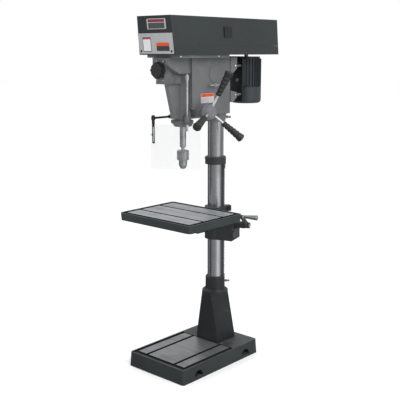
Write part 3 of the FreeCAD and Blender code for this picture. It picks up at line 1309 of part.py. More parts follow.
def chuck_sleeve():
    z0 = CHUCK_SLEEVE_Z
    z1 = z0 + CHUCK_SLEEVE_H
    body = fuse([
        frustum(CHUCK_SLEEVE_R - 2, CHUCK_SLEEVE_R, z0, z0 + 2, 0, SPINDLE_Y),
        post(CHUCK_SLEEVE_R, z0 + 2, z1 - 2, 0, SPINDLE_Y),
        frustum(CHUCK_SLEEVE_R, CHUCK_SLEEVE_R - 2, z1 - 2, z1, 0, SPINDLE_Y),
    ])
    flutes = []
    for n in range(CHUCK_FLUTES):
        a = 2 * math.pi * (n + 0.5) / CHUCK_FLUTES
        x = (CHUCK_SLEEVE_R + 1) * math.cos(a)
        y = SPINDLE_Y + (CHUCK_SLEEVE_R + 1) * math.sin(a)
        flutes.append(post(2.2, z0 + 3, z1 - 3, x, y))
    lip = z0 + CHUCK_LIP_H - GAP
    lower = post(CHUCK_NOSE_R + GAP, z0 - 1, lip, 0, SPINDLE_Y)
    upper = post(CHUCK_BODY_R + RUN, lip, z1 + 1, 0, SPINDLE_Y)
    return cut(body, [*flutes, lower, upper])


def chuck_jaw(n):
    """A slanting round bar, cut to an upright edge that faces the drill."""
    tip, d = jaw_axis(n)
    body = rod(JAW_R, tip - d * 3 * JAW_R, d, JAW_L + 3 * JAW_R)
    reach = 2 * CHUCK_BODY_R
    spread = reach * math.tan(math.radians(JAW_FLANK_ANGLE))
    wedge = prism(
        [V(JAW_OPEN_R, 0, 0), V(JAW_OPEN_R + reach, -spread, 0), V(JAW_OPEN_R + reach, spread, 0)],
        V(0, 0, JAW_L + 3 * JAW_R),
    )
    wedge.rotate(V(0, 0, 0), Z_AXIS, 90 + 360 / JAW_COUNT * n)
    wedge.translate(V(0, SPINDLE_Y, CHUCK_BOTTOM - JAW_TIP_DROP))
    return body.common(wedge)


# ---------------------------------------------------------------- belt drive and motor
def step_pulley(steps, bore, y):
    """A stepped pulley with a belt groove in each step."""
    profile = [(0, bore)]
    groove_h = BELT_H + 2 * GAP
    for n, r in enumerate(steps):
        z = n * PULLEY_STEP_H
        low = z + (PULLEY_STEP_H - groove_h) / 2
        root = r - BELT_T - PULLEY_LIP - GAP
        profile += [(z, r), (low - 0.6, r), (low, root), (low + groove_h, root), (low + groove_h + 0.6, r)]
        profile.append((z + PULLEY_STEP_H, r))
    profile.append((len(steps) * PULLEY_STEP_H, bore))
    return turned(profile, V(0, y, PULLEY_BOTTOM), Z_AXIS)


def spindle_pulley():
    return step_pulley(SPINDLE_STEPS, DRIVE_SLEEVE_R, SPINDLE_Y)


def motor_pulley():
    return step_pulley(MOTOR_STEPS, SHAFT_R, MOTOR_Y)


def drive_sleeve():
    top = PULLEY_BOTTOM + len(SPINDLE_STEPS) * PULLEY_STEP_H + 6
    body = post(DRIVE_SLEEVE_R, DRIVE_SLEEVE_BOTTOM, top, 0, SPINDLE_Y)
    return body.cut(spline_bar(SLEEVE_BORE_R - GAP, DRIVE_SLEEVE_BOTTOM - 1, top + 1, GAP))


def drive_sleeve_bearings():
    rings = []
    for z in DRIVE_BEARING_Z:
        ring = post(DRIVE_BEARING_R, z, z + BEARING_H, 0, SPINDLE_Y)
        rings.append(ring.cut(post(DRIVE_SLEEVE_R + RUN, z - 1, z + BEARING_H + 1, 0, SPINDLE_Y)))
    return Part.makeCompound(rings)


def belt_outline(r0, r1, z):
    """The loop round a circle of radius r0 on the spindle and r1 on the motor: two arcs and two tangents."""
    span = MOTOR_Y - SPINDLE_Y
    lean = math.asin((r0 - r1) / span)
    edges = []
    ends = {}
    for side in (-1, 1):
        x = math.cos(lean)
        y = math.sin(lean)
        ends[side] = (V(side * r0 * x, SPINDLE_Y + r0 * y, z), V(side * r1 * x, MOTOR_Y + r1 * y, z))
    edges.append(Part.Arc(ends[-1][0], V(0, SPINDLE_Y - r0, z), ends[1][0]).toShape())
    edges.append(Part.LineSegment(ends[1][0], ends[1][1]).toShape())
    edges.append(Part.Arc(ends[1][1], V(0, MOTOR_Y + r1, z), ends[-1][1]).toShape())
    edges.append(Part.LineSegment(ends[-1][1], ends[-1][0]).toShape())
    return Part.Wire(edges)


def drive_belt():
    z = PULLEY_BOTTOM + (BELT_STEP + 0.5) * PULLEY_STEP_H - BELT_H / 2
    r0 = SPINDLE_STEPS[BELT_STEP] - PULLEY_LIP
    r1 = MOTOR_STEPS[BELT_STEP] - PULLEY_LIP
    outer = Part.Face(belt_outline(r0, r1, z)).extrude(V(0, 0, BELT_H))
    inner = Part.Face(belt_outline(r0 - BELT_T, r1 - BELT_T, z - 1)).extrude(V(0, 0, BELT_H + 2))
    return outer.cut(inner)


def motor_plate():
    plate = box(-PLATE_HALF_W, PLATE_HALF_W, PLATE_Y, PLATE_Y + PLATE_T, PLATE_BOTTOM, PLATE_TOP)
    tools = [rod(BAR_R, V(x, PLATE_Y - 1, z), Y_AXIS, PLATE_T + 2) for x, z in bar_places()]
    tools += [rod(MOUNT_BOLT_R, V(x, PLATE_Y - 1, z), Y_AXIS, PLATE_T + 2) for x, z in mount_bolt_places()]
    return cut(plate, tools)


def mount_bolt_places():
    return [(i * MOUNT_BOLT_X, z) for i in (-1, 1) for z in MOUNT_BOLT_Z]


def motor_mount_bolts():
    return Part.makeCompound([bolt(MOUNT_BOLT_R, V(x, PLATE_Y, z), Y_AXIS, PLATE_T + 12, 6) for x, z in mount_bolt_places()])


def slide_bars():
    length = PLATE_Y + PLATE_T - BAR_FRONT
    return Part.makeCompound([rod(BAR_R, V(x, BAR_FRONT, z), Y_AXIS, length) for x, z in bar_places()])


def motor_frame():
    """The finned stator housing, its two end walls and its foot."""
    shell = post(MOTOR_R, FAN_COVER_TOP, MOTOR_TOP, 0, MOTOR_Y)
    fins = []
    for n in range(MOTOR_FINS):
        angle = 360 / MOTOR_FINS * n
        fin = box(MOTOR_R - 4, MOTOR_FIN_R, -MOTOR_FIN_T / 2, MOTOR_FIN_T / 2, MOTOR_FIN_BOTTOM, MOTOR_FIN_TOP)
        fin.rotate(V(0, 0, 0), Z_AXIS, angle)
        fin.translate(V(0, MOTOR_Y, 0))
        fins.append(fin)
    foot = box(-FOOT_HALF_W, FOOT_HALF_W, PLATE_Y + PLATE_T, MOTOR_Y - MOTOR_R + 20, MOTOR_FIN_BOTTOM + 4, MOTOR_FIN_TOP)
    pad = box(
        -MOTOR_FIN_R, -MOTOR_R + 10, MOTOR_Y - TERMINAL_L / 4, MOTOR_Y + TERMINAL_L / 4,
        TERMINAL_Z, TERMINAL_Z + TERMINAL_H,
    )
    body = fuse([shell, *fins, foot, pad])
    room = post(MOTOR_R - MOTOR_WALL, FAN_COVER_TOP + MOTOR_END_WALL, MOTOR_TOP - MOTOR_END_WALL, 0, MOTOR_Y)
    shaft = post(SHAFT_R + RUN, FAN_COVER_TOP - 1, MOTOR_TOP + 1, 0, MOTOR_Y)
    bolts = [rod(MOUNT_BOLT_R, V(x, PLATE_Y, z), Y_AXIS, PLATE_T + 12) for x, z in mount_bolt_places()]
    return cut(body, [room, shaft, *bolts])


def motor_fan_cover():
    c = FAN_COVER_ROUND
    t = FAN_COVER_WALL
    r = MOTOR_FIN_R
    h = FAN_COVER_TOP - FAN_COVER_BOTTOM
    k = c * (1 - math.sqrt(0.5))
    outer = Part.Wire([
        Part.LineSegment(V(0, 0, 0), V(r - c, 0, 0)).toShape(),
        Part.Arc(V(r - c, 0, 0), V(r - k, 0, k), V(r, 0, c)).toShape(),
        Part.LineSegment(V(r, 0, c), V(r, 0, h)).toShape(),
        Part.LineSegment(V(r, 0, h), V(0, 0, h)).toShape(),
        Part.LineSegment(V(0, 0, h), V(0, 0, 0)).toShape(),
    ])
    body = Part.Face(outer).revolve(V(0, 0, 0), Z_AXIS, 360)
    body.translate(V(0, MOTOR_Y, FAN_COVER_BOTTOM))
    room = fuse([
        frustum(r - c, r - t, FAN_COVER_BOTTOM + t, FAN_COVER_BOTTOM + c, 0, MOTOR_Y),
        post(r - t, FAN_COVER_BOTTOM + c, FAN_COVER_TOP + 1, 0, MOTOR_Y),
    ])
    slots = []
    for n in range(12):
        slot = box(20, r - c - 4, -3, 3, -5, t + 5)
        slot.rotate(V(0, 0, 0), Z_AXIS, 30 * n)
        slot.translate(V(0, MOTOR_Y, FAN_COVER_BOTTOM))
        slots.append(slot)
    return cut(body, [room, *slots])


def motor_rotor():
    """The shaft, the rotor on it and the cooling fan."""
    top = PULLEY_BOTTOM + len(MOTOR_STEPS) * PULLEY_STEP_H
    fan_z = FAN_COVER_BOTTOM + 24
    pieces = [
        post(SHAFT_R, fan_z - 6, top, 0, MOTOR_Y),
        post(MOTOR_R - MOTOR_WALL - 12, FAN_COVER_TOP + 25, MOTOR_TOP - 25, 0, MOTOR_Y),
        post(SHAFT_R + 10, fan_z, fan_z + 22, 0, MOTOR_Y),
    ]
    for n in range(FAN_BLADES):
        blade = box(SHAFT_R + 5, FAN_R, -1.5, 1.5, fan_z, fan_z + 22)
        blade.rotate(V(0, 0, 0), Z_AXIS, 360 / FAN_BLADES * n)
        blade.translate(V(0, MOTOR_Y, 0))
        pieces.append(blade)
    return fuse(pieces)


def terminal_box():
    """The wiring box on the left of the motor, with a gland for the lead."""
    x1 = -MOTOR_FIN_R
    x0 = x1 - TERMINAL_W
    y0 = MOTOR_Y - TERMINAL_L / 2
    y1 = MOTOR_Y + TERMINAL_L / 2
    z0 = TERMINAL_Z
    z1 = z0 + TERMINAL_H
    t = TERMINAL_WALL
    body = box(x0, x1, y0, y1, z0, z1)
    gland = turned([(0, 0), (0, GLAND_R), (12, GLAND_R), (14, GLAND_R - 3), (20, GLAND_R - 4), (20, 0)],
                   V((x0 + x1) / 2, MOTOR_Y, z0), V(0, 0, -1))
    body = fuse([body, gland])
    room = box(x0 + t, x1 - t, y0 + t, y1 - t, z0 + t, z1 - t)
    way = post(GLAND_BORE_R, z0 - 22, z0 + t + 1, (x0 + x1) / 2, MOTOR_Y)
    return cut(body, [room, way])


# ---------------------------------------------------------------- belt cover
def cover_lean(z):
    """How far each side of the cover has moved in, and its front out, at height z."""
    share = (z - COVER_BOTTOM) / (COVER_TOP - COVER_BOTTOM)
    return COVER_LEAN_SIDE * share, COVER_LEAN_FRONT * share, COVER_LEAN_BACK * share


def cover_section(z, inset):
    side, front, back = cover_lean(z)
    half = COVER_HALF_W - side - inset
    return (-half, half, COVER_FRONT - front + inset, COVER_BACK - back - inset)


def cover_block(z0, z1, inset):
    r = COVER_CORNER_R - min(inset, COVER_CORNER_R - 1)
    return tapered_block(cover_section(z0, inset), cover_section(z1, inset), r, z0, z1)


def cover_pan():
    shell = cover_block(COVER_BOTTOM, COVER_SEAM, 0)
    room = cover_block(COVER_BOTTOM + COVER_WALL, COVER_SEAM + 1, COVER_WALL)
    spindle_hole = post(DRIVE_BEARING_R + 6, COVER_BOTTOM - 1, COVER_BOTTOM + COVER_WALL + 1, 0, SPINDLE_Y)
    slot_r = SHAFT_R + 14
    slot_ends = [post(slot_r, COVER_BOTTOM - 1, COVER_BOTTOM + COVER_WALL + 1, 0, y) for y in (MOTOR_Y - TENSION_TRAVEL, MOTOR_Y)]
    slot_mid = box(-slot_r, slot_r, MOTOR_Y - TENSION_TRAVEL, MOTOR_Y, COVER_BOTTOM - 1, COVER_BOTTOM + COVER_WALL + 1)
    return cut(shell, [room, spindle_hole, *slot_ends, slot_mid])


def hinge_x():
    side, _, _ = cover_lean(COVER_SEAM)
    return -COVER_HALF_W + side - HINGE_R - 0.5


def knuckle(n):
    """One hinge knuckle; even ones belong to the pan and odd ones to the lid."""
    step = 2 * HINGE_HALF_L / HINGE_KNUCKLES
    y0 = -HINGE_HALF_L + n * step + GAP / 2
    return y0, step - GAP


def lid_hinge():
    """The hinge's pan side: the pin, its fixed knuckles and the leaf under each."""
    side, _, _ = cover_lean(COVER_SEAM)
    x = hinge_x()
    pieces = [rod(HINGE_PIN_R, V(x, -HINGE_HALF_L, COVER_SEAM), Y_AXIS, 2 * HINGE_HALF_L)]
    for n in range(0, HINGE_KNUCKLES, 2):
        y0, length = knuckle(n)
        barrel = rod(HINGE_R, V(x, y0, COVER_SEAM), Y_AXIS, length)
        leaf = box(x, -COVER_HALF_W + side + 3, y0, y0 + length, COVER_SEAM - 22, COVER_SEAM - 1)
        pieces += [barrel, leaf]
    body = fuse(pieces)
    return body.cut(cover_block(COVER_BOTTOM, COVER_SEAM, 0))


def cover_lid():
    z0 = COVER_SEAM + LOOSE
    shell = cover_block(z0, COVER_TOP, 0)
    room = cover_block(z0 - 1, COVER_TOP - COVER_WALL, COVER_WALL)
    x = hinge_x()
    barrels = []
    ways = [rod(HINGE_PIN_R + RUN, V(x, -HINGE_HALF_L - 1, COVER_SEAM), Y_AXIS, 2 * HINGE_HALF_L + 2)]
    side, _, _ = cover_lean(COVER_SEAM)
    for n in range(1, HINGE_KNUCKLES, 2):
        y0, length = knuckle(n)
        barrels.append(rod(HINGE_R, V(x, y0, COVER_SEAM), Y_AXIS, length))
        barrels.append(box(x, -COVER_HALF_W + side + 2, y0, y0 + length, COVER_SEAM + LOOSE, COVER_SEAM + 4))
    return cut(fuse([shell.cut(room), *barrels]), ways)


def front_panel():
    """A flat plate screwed to the leaning front of the pan, which stands up clear of the front of the lid."""
    def face(z, out):
        _, front, _ = cover_lean(z)
        return V(-PANEL_HALF_W, COVER_FRONT - front - out, z)

    step = COVER_SEAM - 1
    outline = [face(PANEL_BOTTOM, 0), face(step, 0), face(step, PANEL_STAND_OFF), face(PANEL_TOP, PANEL_STAND_OFF)]
    outline += [face(PANEL_TOP, PANEL_STAND_OFF + PANEL_T), face(PANEL_BOTTOM, PANEL_STAND_OFF + PANEL_T)]
    return prism(outline, X_AXIS * (2 * PANEL_HALF_W))


def latch_face(z, out):
    side, _, _ = cover_lean(z)
    return COVER_HALF_W - side + out


def latch_slab(z0, z1, inner, outer, half):
    """A slab on the leaning right side of the lid, between two distances out from it."""
    points = [
        V(latch_face(z0, inner), LATCH_Y - half, z0),
        V(latch_face(z0, outer), LATCH_Y - half, z0),
        V(latch_face(z1, outer), LATCH_Y - half, z1),
        V(latch_face(z1, inner), LATCH_Y - half, z1),
    ]
    return prism(points, Y_AXIS * (2 * half))


def latch_bezel():
    frame = latch_slab(LATCH_BOTTOM, LATCH_TOP, 0, LATCH_T, LATCH_HALF_W)
    f = LATCH_FRAME
    window = latch_slab(LATCH_BOTTOM + f, LATCH_TOP - f, 1.0, LATCH_T + 1, LATCH_HALF_W - f)
    return frame.cut(window)


def latch_paddle():
    f = LATCH_FRAME + LOOSE
    return latch_slab(LATCH_BOTTOM + f, LATCH_TOP - f, 1.0 + GAP, LATCH_T, LATCH_HALF_W - f)


def main():
    os.makedirs("parts", exist_ok=True)
    pieces = {
        "base": base(),
        "pedestal": pedestal(),
        "pedestal_bolts": pedestal_bolts(),
        "column_set_screws": column_set_screws(),
        "column_tube": column_tube(),
        "upper_collar": upper_collar(),
        "lift_rack": lift_rack(),
        "table_bracket": table_bracket(),
        "gear_housing_cover": gear_housing_cover(),
        "tilt_pivot_bolt": tilt_pivot_bolt(),
        "table_lock_lever": table_lock_lever(),
        "crank_shaft_worm": crank_shaft_worm(),
        "crank_arm": crank_arm(),
        "crank_handle": crank_handle(),
        "lift_pinion": lift_pinion(),
        "table": table(),
        "head_casting": head_casting(),
        "switch_box": switch_box(),
        "switch_box_screws": switch_box_screws(),
        "switch_knob": switch_knob(),
        "spring_housing": spring_housing(),
        "feed_return_spring": feed_return_spring(),
        "motor_bar_lock": motor_bar_lock(),
        "guard_arm": guard_arm(),
        "guard_pivot_bar": guard_pivot_bar(),
        "guard_shield": guard_shield(),
        "feed_pinion_shaft": feed_pinion_shaft(),
        "feed_hub": feed_hub(),
        "feed_rods": feed_rods(),
        "feed_grips": feed_grips(),
        "quill": quill(),
        "quill_bearings": quill_bearings(),
        "quill_collar": quill_collar(),
        "depth_rod": depth_rod(),
        "depth_nuts": depth_nuts(),
        "spindle": spindle(),
        "chuck_arbor": chuck_arbor(),
        "chuck_body": chuck_body(),
        "chuck_sleeve": chuck_sleeve(),
        "spindle_pulley": spindle_pulley(),
        "drive_sleeve": drive_sleeve(),
        "drive_sleeve_bearings": drive_sleeve_bearings(),
        "drive_belt": drive_belt(),
        "motor_plate": motor_plate(),
        "motor_mount_bolts": motor_mount_bolts(),
        "slide_bars": slide_bars(),
        "motor_frame": motor_frame(),
        "motor_fan_cover": motor_fan_cover(),
        "motor_rotor": motor_rotor(),
        "motor_pulley": motor_pulley(),
        "terminal_box": terminal_box(),
        "cover_pan": cover_pan(),
        "lid_hinge": lid_hinge(),
        "cover_lid": cover_lid(),
        "front_panel": front_panel(),
        "latch_bezel": latch_bezel(),
        "latch_paddle": latch_paddle(),
    }
    for n in range(JAW_COUNT):
        pieces[f"chuck_jaw_{n + 1}"] = chuck_jaw(n)
    for name, shape in pieces.items():
        export(name, shape)


main()
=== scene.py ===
"""The looks of a floor-standing drill press: materials for its nodes, small fittings, a pale studio."""

import math

import bpy
import numpy as np
from bpy.props import FloatProperty, FloatVectorProperty, PointerProperty
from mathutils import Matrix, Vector


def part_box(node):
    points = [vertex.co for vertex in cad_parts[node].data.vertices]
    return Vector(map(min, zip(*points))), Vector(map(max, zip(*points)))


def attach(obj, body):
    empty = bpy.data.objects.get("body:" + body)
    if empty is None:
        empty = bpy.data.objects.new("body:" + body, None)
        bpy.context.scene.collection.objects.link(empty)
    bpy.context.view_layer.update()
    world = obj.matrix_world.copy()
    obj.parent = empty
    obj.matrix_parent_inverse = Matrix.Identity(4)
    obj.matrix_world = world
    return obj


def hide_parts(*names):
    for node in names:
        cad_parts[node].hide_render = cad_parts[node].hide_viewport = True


bl_info = {
    "name": "Drill press looks",
    "version": (1, 0, 0),
    "blender": (4, 5, 0),
    "location": "View3D > Sidebar > Drill press",
    "description": "Finishes the drill press: materials, labels, screws, grips and a studio",
    "category": "Object",
}

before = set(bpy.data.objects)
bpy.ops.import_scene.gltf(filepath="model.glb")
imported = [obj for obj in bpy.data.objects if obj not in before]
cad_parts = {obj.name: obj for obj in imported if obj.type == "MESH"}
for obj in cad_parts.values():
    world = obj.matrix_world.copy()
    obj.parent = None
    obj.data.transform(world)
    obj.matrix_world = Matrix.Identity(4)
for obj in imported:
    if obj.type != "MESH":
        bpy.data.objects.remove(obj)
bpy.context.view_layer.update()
UP = Vector((0, 0, 1))
RIGHT = Vector((1, 0, 0))
REAR = Vector((0, 1, 0))


def srgb(code):
    """A colour from its six hexadecimal digits, as linear RGBA."""
    shown = [int(code[n:n + 2], 16) / 255 for n in (0, 2, 4)]
    return (*[((c + 0.055) / 1.055) ** 2.4 if c > 0.04045 else c / 12.92 for c in shown], 1.0)


def colour_property(name, description, code):
    """A colour that the user may change."""
    return FloatVectorProperty(
        name=name, description=description, default=srgb(code), subtype="COLOR", size=4, min=0, max=1
    )


# ---------------------------------------------------------------- properties
class DRILLPRESS_PG_look(bpy.types.PropertyGroup):
    """The colours, wear and grain of the finishes."""

    table_colour: colour_property("Table colour", "Enamel of the table", "2a3132")
    base_colour: colour_property("Base colour", "Enamel of the base", "262c2d")
    pedestal_colour: colour_property("Pedestal colour", "Enamel of the pedestal", "1d2224")
    bracket_colour: colour_property("Bracket colour", "Enamel of the table's bracket", "292e2f")
    head_colour: colour_property("Head colour", "Enamel of the head", "5f6062")
    cover_colour: colour_property("Cover colour", "Paint of the belt cover", "232929")
    panel_colour: colour_property("Panel colour", "Paint of the front panel", "98999b")
    motor_colour: colour_property("Motor colour", "Enamel of the motor", "20282a")
    grip_colour: colour_property("Grip colour", "Plastic of the feed grips", "1c1d1e")
    edge_wear: FloatProperty(
        name="Edge wear",
        description="How far paint is rubbed off along edges", default=0.35, min=0, max=1,
    )
    edge_width: FloatProperty(
        name="Edge width",
        description="Width of the rounded and rubbed edges", default=0.0012, unit="LENGTH",
    )
    peel: FloatProperty(
        name="Paint texture",
        description="Height of the paint's orange peel", default=0.00006, unit="LENGTH",
    )
    grind: FloatProperty(
        name="Grinding marks",
        description="Height of the marks on machined metal", default=0.00003, unit="LENGTH",
    )


class DRILLPRESS_PG_fittings(bpy.types.PropertyGroup):
    """The sizes of the pieces that this script adds."""

    plate_thickness: FloatProperty(
        name="Nameplate thickness",
        description="How far the nameplate stands out", default=0.0016, unit="LENGTH",
    )
    label_thickness: FloatProperty(
        name="Label thickness",
        description="Thickness of the stuck-on labels", default=0.0003, unit="LENGTH",
    )
    screw_radius: FloatProperty(
        name="Screw head radius",
        description="Radius of the small screw heads", default=0.0045, unit="LENGTH",
    )
    grip_ribs: FloatProperty(
        name="Grip rib height",
        description="Height of the finger ribs on the feed grips", default=0.0026, unit="LENGTH",
    )


class DRILLPRESS_PG_stage(bpy.types.PropertyGroup):
    """The camera and the lights."""

    focal_length: FloatProperty(
        name="Focal length",
        description="Camera lens, in millimetres", default=68.6,
    )
    azimuth: FloatProperty(
        name="Azimuth",
        description="Camera direction round the machine", default=math.radians(41.93), subtype="ANGLE",
    )
    elevation: FloatProperty(
        name="Elevation",
        description="Camera angle above the horizon", default=math.radians(11.07), subtype="ANGLE",
    )
    floor_size: FloatProperty(
        name="Floor size",
        description="Width of the floor", default=60.0, unit="LENGTH",
    )
    key_power: FloatProperty(
        name="Key light",
        description="Power of the main light", default=90.0, unit="POWER",
    )
    fill_power: FloatProperty(
        name="Fill light",
        description="Power of the side light", default=20.0, unit="POWER",
    )
    sky: FloatProperty(
        name="Sky",
        description="Brightness of the surroundings", default=1.06,
    )


def tint(colour):
    """Linear RGBA from a code or from a colour property."""
    return srgb(colour) if isinstance(colour, str) else tuple(colour)


# ---------------------------------------------------------------- node helpers
def feed(tree, value, socket):
    """Gives a socket another node's output, or a constant."""
    if isinstance(value, bpy.types.NodeSocket):
        tree.links.new(value, socket)
    else:
        socket.default_value = value


def node(tree, kind, inputs=None, **settings):
    """A new node with its settings and inputs filled in."""
    new = tree.nodes.new(kind)
    for key, value in settings.items():
        setattr(new, key, value)
    for key, value in (inputs or {}).items():
        feed(tree, value, new.inputs[key])
    return new


def calc(tree, operation, *values):
    """The result of one arithmetic step."""
    return node(tree, "ShaderNodeMath", dict(enumerate(values)), operation=operation).outputs[0]


def blend_colour(tree, share, first, second, how="MIX"):
    """A colour that goes from the first to the second as the share rises."""
    inputs = {0: share, 6: first, 7: second}
    return node(tree, "ShaderNodeMix", inputs, data_type="RGBA", blend_type=how).outputs[2]


def blend_value(tree, share, first, second):
    """A number that goes from the first to the second as the share rises."""
    return node(tree, "ShaderNodeMix", {0: share, 2: first, 3: second}).outputs[0]


def noise(tree, where, per_metre, detail=2.0):
    """Soft noise between 0 and 1, per_metre patches to the metre."""
    inputs = {"Vector": where, "Scale": per_metre, "Detail": detail}
    return node(tree, "ShaderNodeTexNoise", inputs).outputs[0]


def ramp(tree, value, low, high):
    """The value spread so that low becomes 0 and high becomes 1."""
    inputs = {"Value": value, "From Min": low, "From Max": high}
    return node(tree, "ShaderNodeMapRange", inputs, clamp=True).outputs[0]


def new_group(name, inputs, outputs):
    """An empty node group: its tree, its input sockets and its output sockets."""
    tree = bpy.data.node_groups.new(name, "ShaderNodeTree")
    for label, kind, default in inputs:
        socket = tree.interface.new_socket(label, in_out="INPUT", socket_type=kind)
        if default is not None:
            socket.default_value = default
    for label, kind in outputs:
        tree.interface.new_socket(label, in_out="OUTPUT", socket_type=kind)
    start = tree.nodes.new("NodeGroupInput")
    end = tree.nodes.new("NodeGroupOutput")
    return tree, start.outputs, end.inputs


VECTOR = "NodeSocketVector"
COLOUR = "NodeSocketColor"
VALUE = "NodeSocketFloat"
SURFACE = [("Colour", COLOUR), ("Roughness", VALUE), ("Height", VALUE)]
WHITE = (1.0, 1.0, 1.0, 1.0)
PAINT_SPECULAR = 0.4


def edge_group():
    """A mask that is 1 on sharp outer edges: the angle between the surface and its rounded version."""
    tree, given, made = new_group(
        "Edge mask", [("Width", VALUE, 0.001)], [("Mask", VALUE), ("Normal", VECTOR)]
    )
    rounded = node(tree, "ShaderNodeBevel", {"Radius": given["Width"]}, samples=4).outputs[0]
    flat = node(tree, "ShaderNodeNewGeometry").outputs["Normal"]
    same = node(tree, "ShaderNodeVectorMath", {0: rounded, 1: flat}, operation="DOT_PRODUCT").outputs["Value"]
    feed(tree, ramp(tree, same, 0.995, 0.86), made["Mask"])
    feed(tree, rounded, made["Normal"])
    return tree


def enamel_group():
    """Enamel on sand-cast iron: pits under orange peel, uneven tone, dust on top faces, rubbed edges."""
    tree, given, made = new_group(
        "Enamel on iron",
        [("Coordinates", VECTOR, None), ("Colour", COLOUR, WHITE), ("Worn", COLOUR, WHITE),
         ("Edges", VALUE, 0), ("Casting", VALUE, 1)],
        SURFACE,
    )
    where = given["Coordinates"]
    tone = noise(tree, where, 5, 4)
    patches = noise(tree, where, 38, 5)
    peel = noise(tree, where, 700, 2)
    pits = noise(tree, where, 210, 3)
    darker = blend_colour(tree, ramp(tree, tone, 0.35, 0.7), (0.80, 0.80, 0.80, 1), (1.16, 1.16, 1.16, 1))
    colour = blend_colour(tree, 1.0, given["Colour"], darker, "MULTIPLY")
    speck = ramp(tree, patches, 0.62, 0.78)
    colour = blend_colour(tree, calc(tree, "MULTIPLY", speck, 0.10), colour, given["Worn"])
    facing = node(tree, "ShaderNodeNewGeometry").outputs["Normal"]
    up = node(tree, "ShaderNodeSeparateXYZ", {0: facing}).outputs[2]
    dust = calc(tree, "MULTIPLY", ramp(tree, up, 0.6, 1.0), ramp(tree, patches, 0.3, 0.8))
    colour = blend_colour(tree, calc(tree, "MULTIPLY", dust, 0.16), colour, (0.42, 0.42, 0.41, 1))
    rubbed = calc(tree, "MULTIPLY", given["Edges"], ramp(tree, noise(tree, where, 90, 4), 0.38, 0.62))
    feed(tree, blend_colour(tree, rubbed, colour, given["Worn"]), made["Colour"])
    rough = calc(tree, "ADD", 0.36, calc(tree, "MULTIPLY", patches, 0.22))
    feed(tree, calc(tree, "ADD", rough, calc(tree, "MULTIPLY", dust, 0.25)), made["Roughness"])
    deep = calc(tree, "MULTIPLY", ramp(tree, pits, 0.25, 0.75), given["Casting"])
    feed(tree, calc(tree, "ADD", peel, deep), made["Height"])
    return tree


def sheet_group():
    """Paint baked on pressed steel: fine even texture, faint tone, and a few light scuffs."""
    tree, given, made = new_group(
        "Paint on sheet",
        [("Coordinates", VECTOR, None), ("Colour", COLOUR, WHITE), ("Worn", COLOUR, WHITE),
         ("Edges", VALUE, 0)],
        SURFACE,
    )
    where = given["Coordinates"]
    tone = noise(tree, where, 3, 3)
    peel = noise(tree, where, 900, 2)
    stretched = node(tree, "ShaderNodeMapping", {"Vector": where, "Scale": (9.0, 1.2, 14.0)}).outputs[0]
    scuffs = ramp(tree, noise(tree, stretched, 26, 6), 0.66, 0.74)
    colour = blend_colour(tree, ramp(tree, tone, 0.3, 0.7), (0.86, 0.86, 0.86, 1), (1.1, 1.1, 1.1, 1))
    colour = blend_colour(tree, 1.0, given["Colour"], colour, "MULTIPLY")
    colour = blend_colour(tree, calc(tree, "MULTIPLY", scuffs, 0.12), colour, given["Worn"])
    feed(tree, blend_colour(tree, given["Edges"], colour, given["Worn"]), made["Colour"])
    feed(tree, calc(tree, "ADD", 0.34, calc(tree, "MULTIPLY", tone, 0.16)), made["Roughness"])
    feed(tree, calc(tree, "SUBTRACT", peel, calc(tree, "MULTIPLY", scuffs, 0.4)), made["Height"])
    return tree


def machined_group():
    """Ground or turned metal: fine marks across the direction of the cut, stains and a soft sheen."""
    tree, given, made = new_group(
        "Machined metal",
        [("Coordinates", VECTOR, None), ("Colour", COLOUR, WHITE), ("Cut", VECTOR, (1.0, 1.0, 1.0)),
         ("Polish", VALUE, 0.3), ("Stain", VALUE, 0.3)],
        SURFACE,
    )
    where = given["Coordinates"]
    cut = node(tree, "ShaderNodeVectorMath", {0: where, 1: given["Cut"]}, operation="MULTIPLY").outputs[0]
    marks = noise(tree, cut, 260, 5)
    broad = noise(tree, cut, 34, 4)
    cloud = noise(tree, where, 9, 5)
    shade = blend_colour(tree, ramp(tree, broad, 0.25, 0.75), (0.72, 0.72, 0.72, 1), (1.15, 1.15, 1.15, 1))
    colour = blend_colour(tree, 1.0, given["Colour"], shade, "MULTIPLY")
    stain = calc(tree, "MULTIPLY", ramp(tree, cloud, 0.5, 0.75), given["Stain"])
    colour = blend_colour(tree, stain, colour, (0.11, 0.105, 0.10, 1))
    feed(tree, colour, made["Colour"])
    rough = calc(tree, "ADD", given["Polish"], calc(tree, "MULTIPLY", marks, 0.22))
    feed(tree, calc(tree, "ADD", rough, calc(tree, "MULTIPLY", stain, 0.3)), made["Roughness"])
    feed(tree, marks, made["Height"])
    return tree


def moulded_group():
    """Moulded plastic or rubber: a fine spark texture, worn smoother in patches."""
    tree, given, made = new_group(
        "Moulded", [("Coordinates", VECTOR, None), ("Colour", COLOUR, WHITE), ("Shine", VALUE, 0.4)], SURFACE
    )
    where = given["Coordinates"]
    cells = node(tree, "ShaderNodeTexVoronoi", {"Vector": where, "Scale": 900.0}).outputs["Distance"]
    handled = noise(tree, where, 30, 4)
    shade = blend_colour(tree, ramp(tree, handled, 0.35, 0.7), (0.85, 0.85, 0.85, 1), (1.25, 1.25, 1.25, 1))
    feed(tree, blend_colour(tree, 1.0, given["Colour"], shade, "MULTIPLY"), made["Colour"])
    feed(tree, calc(tree, "ADD", given["Shine"], calc(tree, "MULTIPLY", handled, 0.25)), made["Roughness"])
    feed(tree, cells, made["Height"])
    return tree


